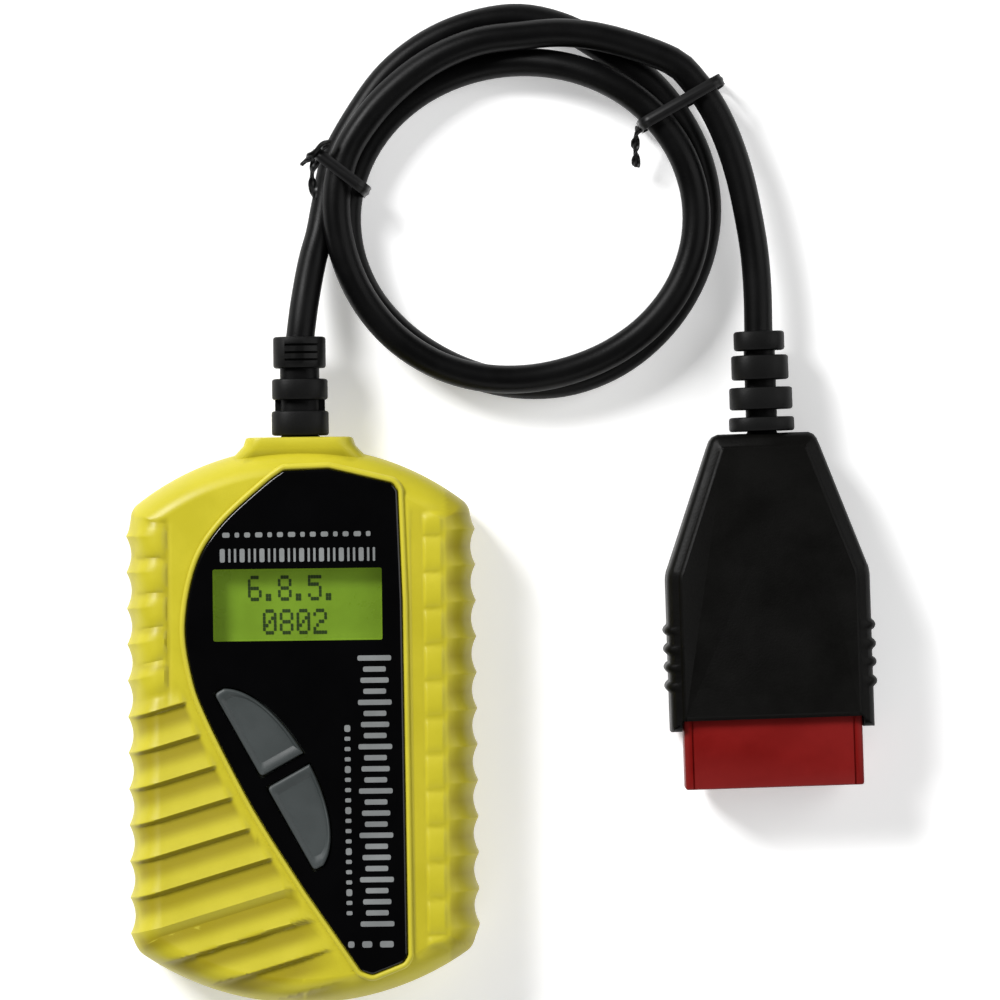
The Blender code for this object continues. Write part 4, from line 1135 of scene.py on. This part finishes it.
def make_hood(name, side, node):
    """One shell of the hood: side is 1 for the upper one and -1 for the lower one."""
    full = HOOD_HALF_HEIGHT
    edge = 0.00015
    levels = [(0.004, full - 0.002, 0), (0.002, full - 0.0042, 0), (0.002, edge, 0), (0, edge, 1)]
    levels += [(0, full - 0.004, 1), (0.0001, full - 0.0026, 0.9), (0.0005, full - 0.0016, 0.6)]
    levels += [(0.0012, full - 0.0009, 0.3), (0.0026, full - 0.00055, 0), (0.0029, full - 0.0002, 0)]
    levels += [(0.0034, full, 0)]
    rings = []
    for inset, height, ribs in levels:
        ring = []
        for x, y in hood_outline(inset, ribs):
            share = hood_height(y) if height > edge else 1
            ring.append((x, y, PLUG_MID_Z + side * height * share))
        rings.append(ring)
    hood = piece(name, loft(rings), "hood_black", stands_for=[node])
    room = SHROUD_HALF_WIDTH + 0.0003
    tall = SHROUD_HALF_HEIGHT + 0.0003
    cuts = [(0.01, HOOD_PLATE_FRONT, -0.002, 0.023)]
    cuts += [(0.011, BLOCK_BACK + 0.001, PLUG_MID_Z - tall, PLUG_MID_Z + tall)]
    for front, back, low, high in cuts:
        carve(hood, prism(rectangle((0, (front + back) / 2), (2 * room, back - front)), low, high))
    carve(hood, turned_along_y((0, PLUG_MID_Z), [(0.07, 0.0038), (0.085, 0.0038)]))
    if side < 0:
        for centre in HOOD_SCREWS:
            carve(hood, round_bar(centre, [(0.001, 0.0034), (PLUG_MID_Z - 0.001, 0.0034)]), "UNION")
            hole = [(-0.001, 0.0027), (0.0003, 0.0023), (0.0045, 0.0023)]
            hole += [(0.0045, 0.0012), (0.012, 0.0012)]
            carve(hood, round_bar(centre, hole))
    hood.data.transform(plug_matrix())
    resharpened(hood, "hood_black", 30, True)


def make_shroud():
    """The red body, its outer edges softened, with a thin ledge down each side."""
    low = PLUG_MID_Z - SHROUD_HALF_HEIGHT
    high = PLUG_MID_Z + SHROUD_HALF_HEIGHT

    def section(out):
        right = [(SHROUD_NARROW_HALF_WIDTH, low), (SHROUD_HALF_WIDTH, low + 0.005)]
        return grown(rounded_corners(mirrored(right + [(SHROUD_HALF_WIDTH, high)]), 0.0009, 4), out)

    stations = [(0, -0.0004), (0.0002, -0.0001), (0.0005, 0), (BLOCK_BACK, 0)]
    body = loft([[(x, y, z) for x, z in section(out)] for y, out in stations])
    shroud = piece("red_shroud", body, "plug_red", stands_for=["plug_body"])
    wide = SHROUD_HALF_WIDTH - SHROUD_WALL
    rib_half = 0.0008
    narrow = SHROUD_NARROW_HALF_WIDTH - SHROUD_WALL
    upper = [(wide, PLUG_MID_Z + rib_half), (wide, high - SHROUD_WALL)]
    lower = [(narrow, low + SHROUD_WALL), (wide, low + 0.006), (wide, PLUG_MID_Z - rib_half)]
    for right in (upper, lower):
        carve(shroud, loft([[(x, y, z) for x, z in mirrored(right)] for y in (-0.001, SHROUD_DEPTH)]))
    slots = bmesh.new()
    for number in PINS:
        x = ((number - 1) % 8 - 3.5) * PIN_PITCH
        z = PLUG_MID_Z + (PIN_ROW_Z if number <= 8 else -PIN_ROW_Z)
        prism(rectangle((x, 0.021), (0.0021, 0.018)), z - 0.0006, z + 0.0006, slots)
    carve(shroud, slots)
    for side in (1, -1):
        carve(shroud, block((side * 0.0178, 0.007), (0.0004, 0.0162), high - 0.0003, 0.001))
    shroud.data.transform(plug_matrix())
    resharpened(shroud, "plug_red", 30)


def make_plug_relief():
    bands = [(0.0731, 0.0756, 0.0048), (0.0756, 0.0786, 0.00345), (0.0786, 0.0817, 0.0072)]
    bands += [(0.0834, 0.0883, 0.00695), (0.09, 0.0954, 0.0063), (0.0965, 0.1007, 0.0056)]
    shape = turned_along_y((0, PLUG_MID_Z), banded(bands, 0.00345), 48, 3.0)
    bmesh.ops.transform(shape, matrix=plug_matrix(), verts=shape.verts)
    piece("plug_boot", shape, "relief_black", stands_for=["plug_relief"])


# ---------------------------------------------------------------- screws and label


THREAD_STEPS = 24
THREAD_ROOT = 0.78


def make_screw(name, node, head_radius, shank_radius, top_down):
    """A pan-head screw with a cross recess where the CAD has its plain one."""
    centre = box_middle(node)
    low, high = (corner[2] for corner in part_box(node))
    face, way = (high, -1) if top_down else (low, 1)
    head = (0.0026 if head_radius > 0.0024 else 0.0015) * (1 if top_down else 0.88)
    profile = [(0, head_radius * 0.6), (0.0002, head_radius * 0.86)]
    profile += [(0.0006, head_radius), (head, head_radius)]
    for k in range(THREAD_STEPS + 1):
        root = 1.0 if k % 2 else THREAD_ROOT
        profile.append((head + (high - low - head) * k / THREAD_STEPS, shank_radius * root))
    profile = [(face + way * depth, radius) for depth, radius in profile]
    screw = piece(name, round_bar(centre, profile, 24), "steel", stands_for=[node])
    for turn in (45, 135):
        cross = bmesh.new()
        slit = rectangle((0, 0), (head_radius * 1.25, head_radius * 0.26))
        prism(slit, face - 0.0009, face + 0.0009, cross)
        place = Matrix.Translation((*centre, 0)) @ Matrix.Rotation(math.radians(turn), 4, "Z")
        bmesh.ops.transform(cross, matrix=place, verts=cross.verts)
        carve(screw, cross)
    resharpened(screw, "steel", 30)
    return centre


INNER = {
    "board_green": ["lcd_board", "main_board"],
    "steel": ["lcd_bezel", "crystal", "filter_capacitor"],
    "lcd_green": ["lcd_glass"],
    "window_clear": ["display_lens"],
    "backlight_white": ["lcd_backlight"],
    "part_black": ["lcd_header", "microcontroller", "can_transceiver", "kline_driver", "memory_chip"],
    "connector_ivory": ["cable_socket", "cable_plug"],
    "cable_black": ["inner_cable", "wire_loom"],
    "label_silver": ["rear_label"],
    "terminal_brass": [f"terminal_{number:02d}" for number in PINS],
}
INNER["part_black"] += ["voltage_regulator", "input_diode", "switch_upper", "switch_lower"]
INNER["part_black"] += ["plunger_upper", "plunger_lower"]


def finish_inner_nodes():
    """Gives the CAD nodes that stay their finishes."""
    for slot, names in INNER.items():
        for name in names:
            node = bpy.data.objects[name]
            if not node.material_slots:
                node.data.materials.append(FINISHES[slot])
            for place in node.material_slots:
                place.material = FINISHES[slot]


# ---------------------------------------------------------------- build

make_front_case()
screw_centres = []
for i in range(1, 5):
    screw_centres.append(make_screw(f"case_fixing_{i}", f"case_screw_{i}", 0.0027, 0.0012, False))
make_rear_case(screw_centres)
for i in range(1, 5):
    make_screw(f"board_fixing_{i}", f"board_screw_{i}", 0.0019, 0.0009, True)
make_overlay()
for key_name, key_shape in zip(("upper", "lower"), key_outlines(0.001)):
    make_key(key_name, key_shape)
make_prints()
make_digits()
make_reader_relief()
make_tie("tie_left", 175, 166, 0.047, [(LEFT_TAIL, 1.3), (LEFT_STUB, 0.8)], "twist_tie_left")
make_tie("tie_right", 32, 31, 0.0512, [(RIGHT_TAIL, 1.2)], "twist_tie_right")
make_hood("hood_upper", 1, "plug_hood_top")
make_hood("hood_lower", -1, "plug_hood_bottom")
for i in (1, 2):
    make_screw(f"hood_fixing_{i}", f"hood_screw_{i}", 0.002, 0.0009, False)
make_shroud()
make_plug_relief()
finish_inner_nodes()

on_the_cord = ["reader_boot", "plug_boot", "tie_left", "tie_right", "hood_upper", "hood_lower", "red_shroud"]
on_the_cord += ["tie_left_end_1", "tie_left_end_2", "tie_right_end_1"]


# ---------------------------------------------------------------- stage and lights


def make_stage():
    bm = bmesh.new()
    bmesh.ops.create_grid(bm, x_segments=24, y_segments=24, size=1.6)
    floor = placed("floor", mesh_of("floor", bm))
    white = (0.93, 0.93, 0.93)
    floor.data.materials.append(finish("pale_floor", white, 0.85, 0.002, 10e-6, 0.004, 0.0, glow=0.35))
    floor.location = (0.044, 0.048, -0.0001)


def make_light(name, place, size, power):
    """A soft rectangular light that faces the object."""
    data = bpy.data.lights.new(name, "AREA")
    data.shape = "RECTANGLE"
    data.size = size[0]
    data.size_y = size[1]
    data.energy = power
    light = placed(name, data)
    light.location = place
    aim = Vector((0.03, 0.04, 0)) - Vector(place)
    light.rotation_euler = aim.to_track_quat("-Z", "Y").to_euler()


AROUND_STRENGTH = 0.03
BACKDROP_STRENGTH = 0.9


def make_world():
    """A faint light from all round, and a pale backdrop where the view goes past the floor."""
    world = bpy.data.worlds.new("studio")
    world.use_nodes = True
    tree = world.node_tree
    background = tree.nodes["Background"]
    background.inputs["Color"].default_value = (1, 1, 1, 1)
    path = tree.nodes.new("ShaderNodeLightPath")
    strength = ramp(tree, path.outputs["Is Camera Ray"], 0, 1, AROUND_STRENGTH, BACKDROP_STRENGTH)
    tree.links.new(strength, background.inputs["Strength"])
    bpy.context.scene.world = world
    bpy.context.scene.view_settings.view_transform = "Standard"


make_stage()
make_world()
make_light("key", (-0.8, 0.85, 0.95), (0.5, 0.5), 28)
make_light("fill_right", (1.0, 0.3, 0.9), (1.0, 1.2), 8.5)
make_light("fill_low", (0.1, -1.1, 0.8), (1.4, 0.8), 6)
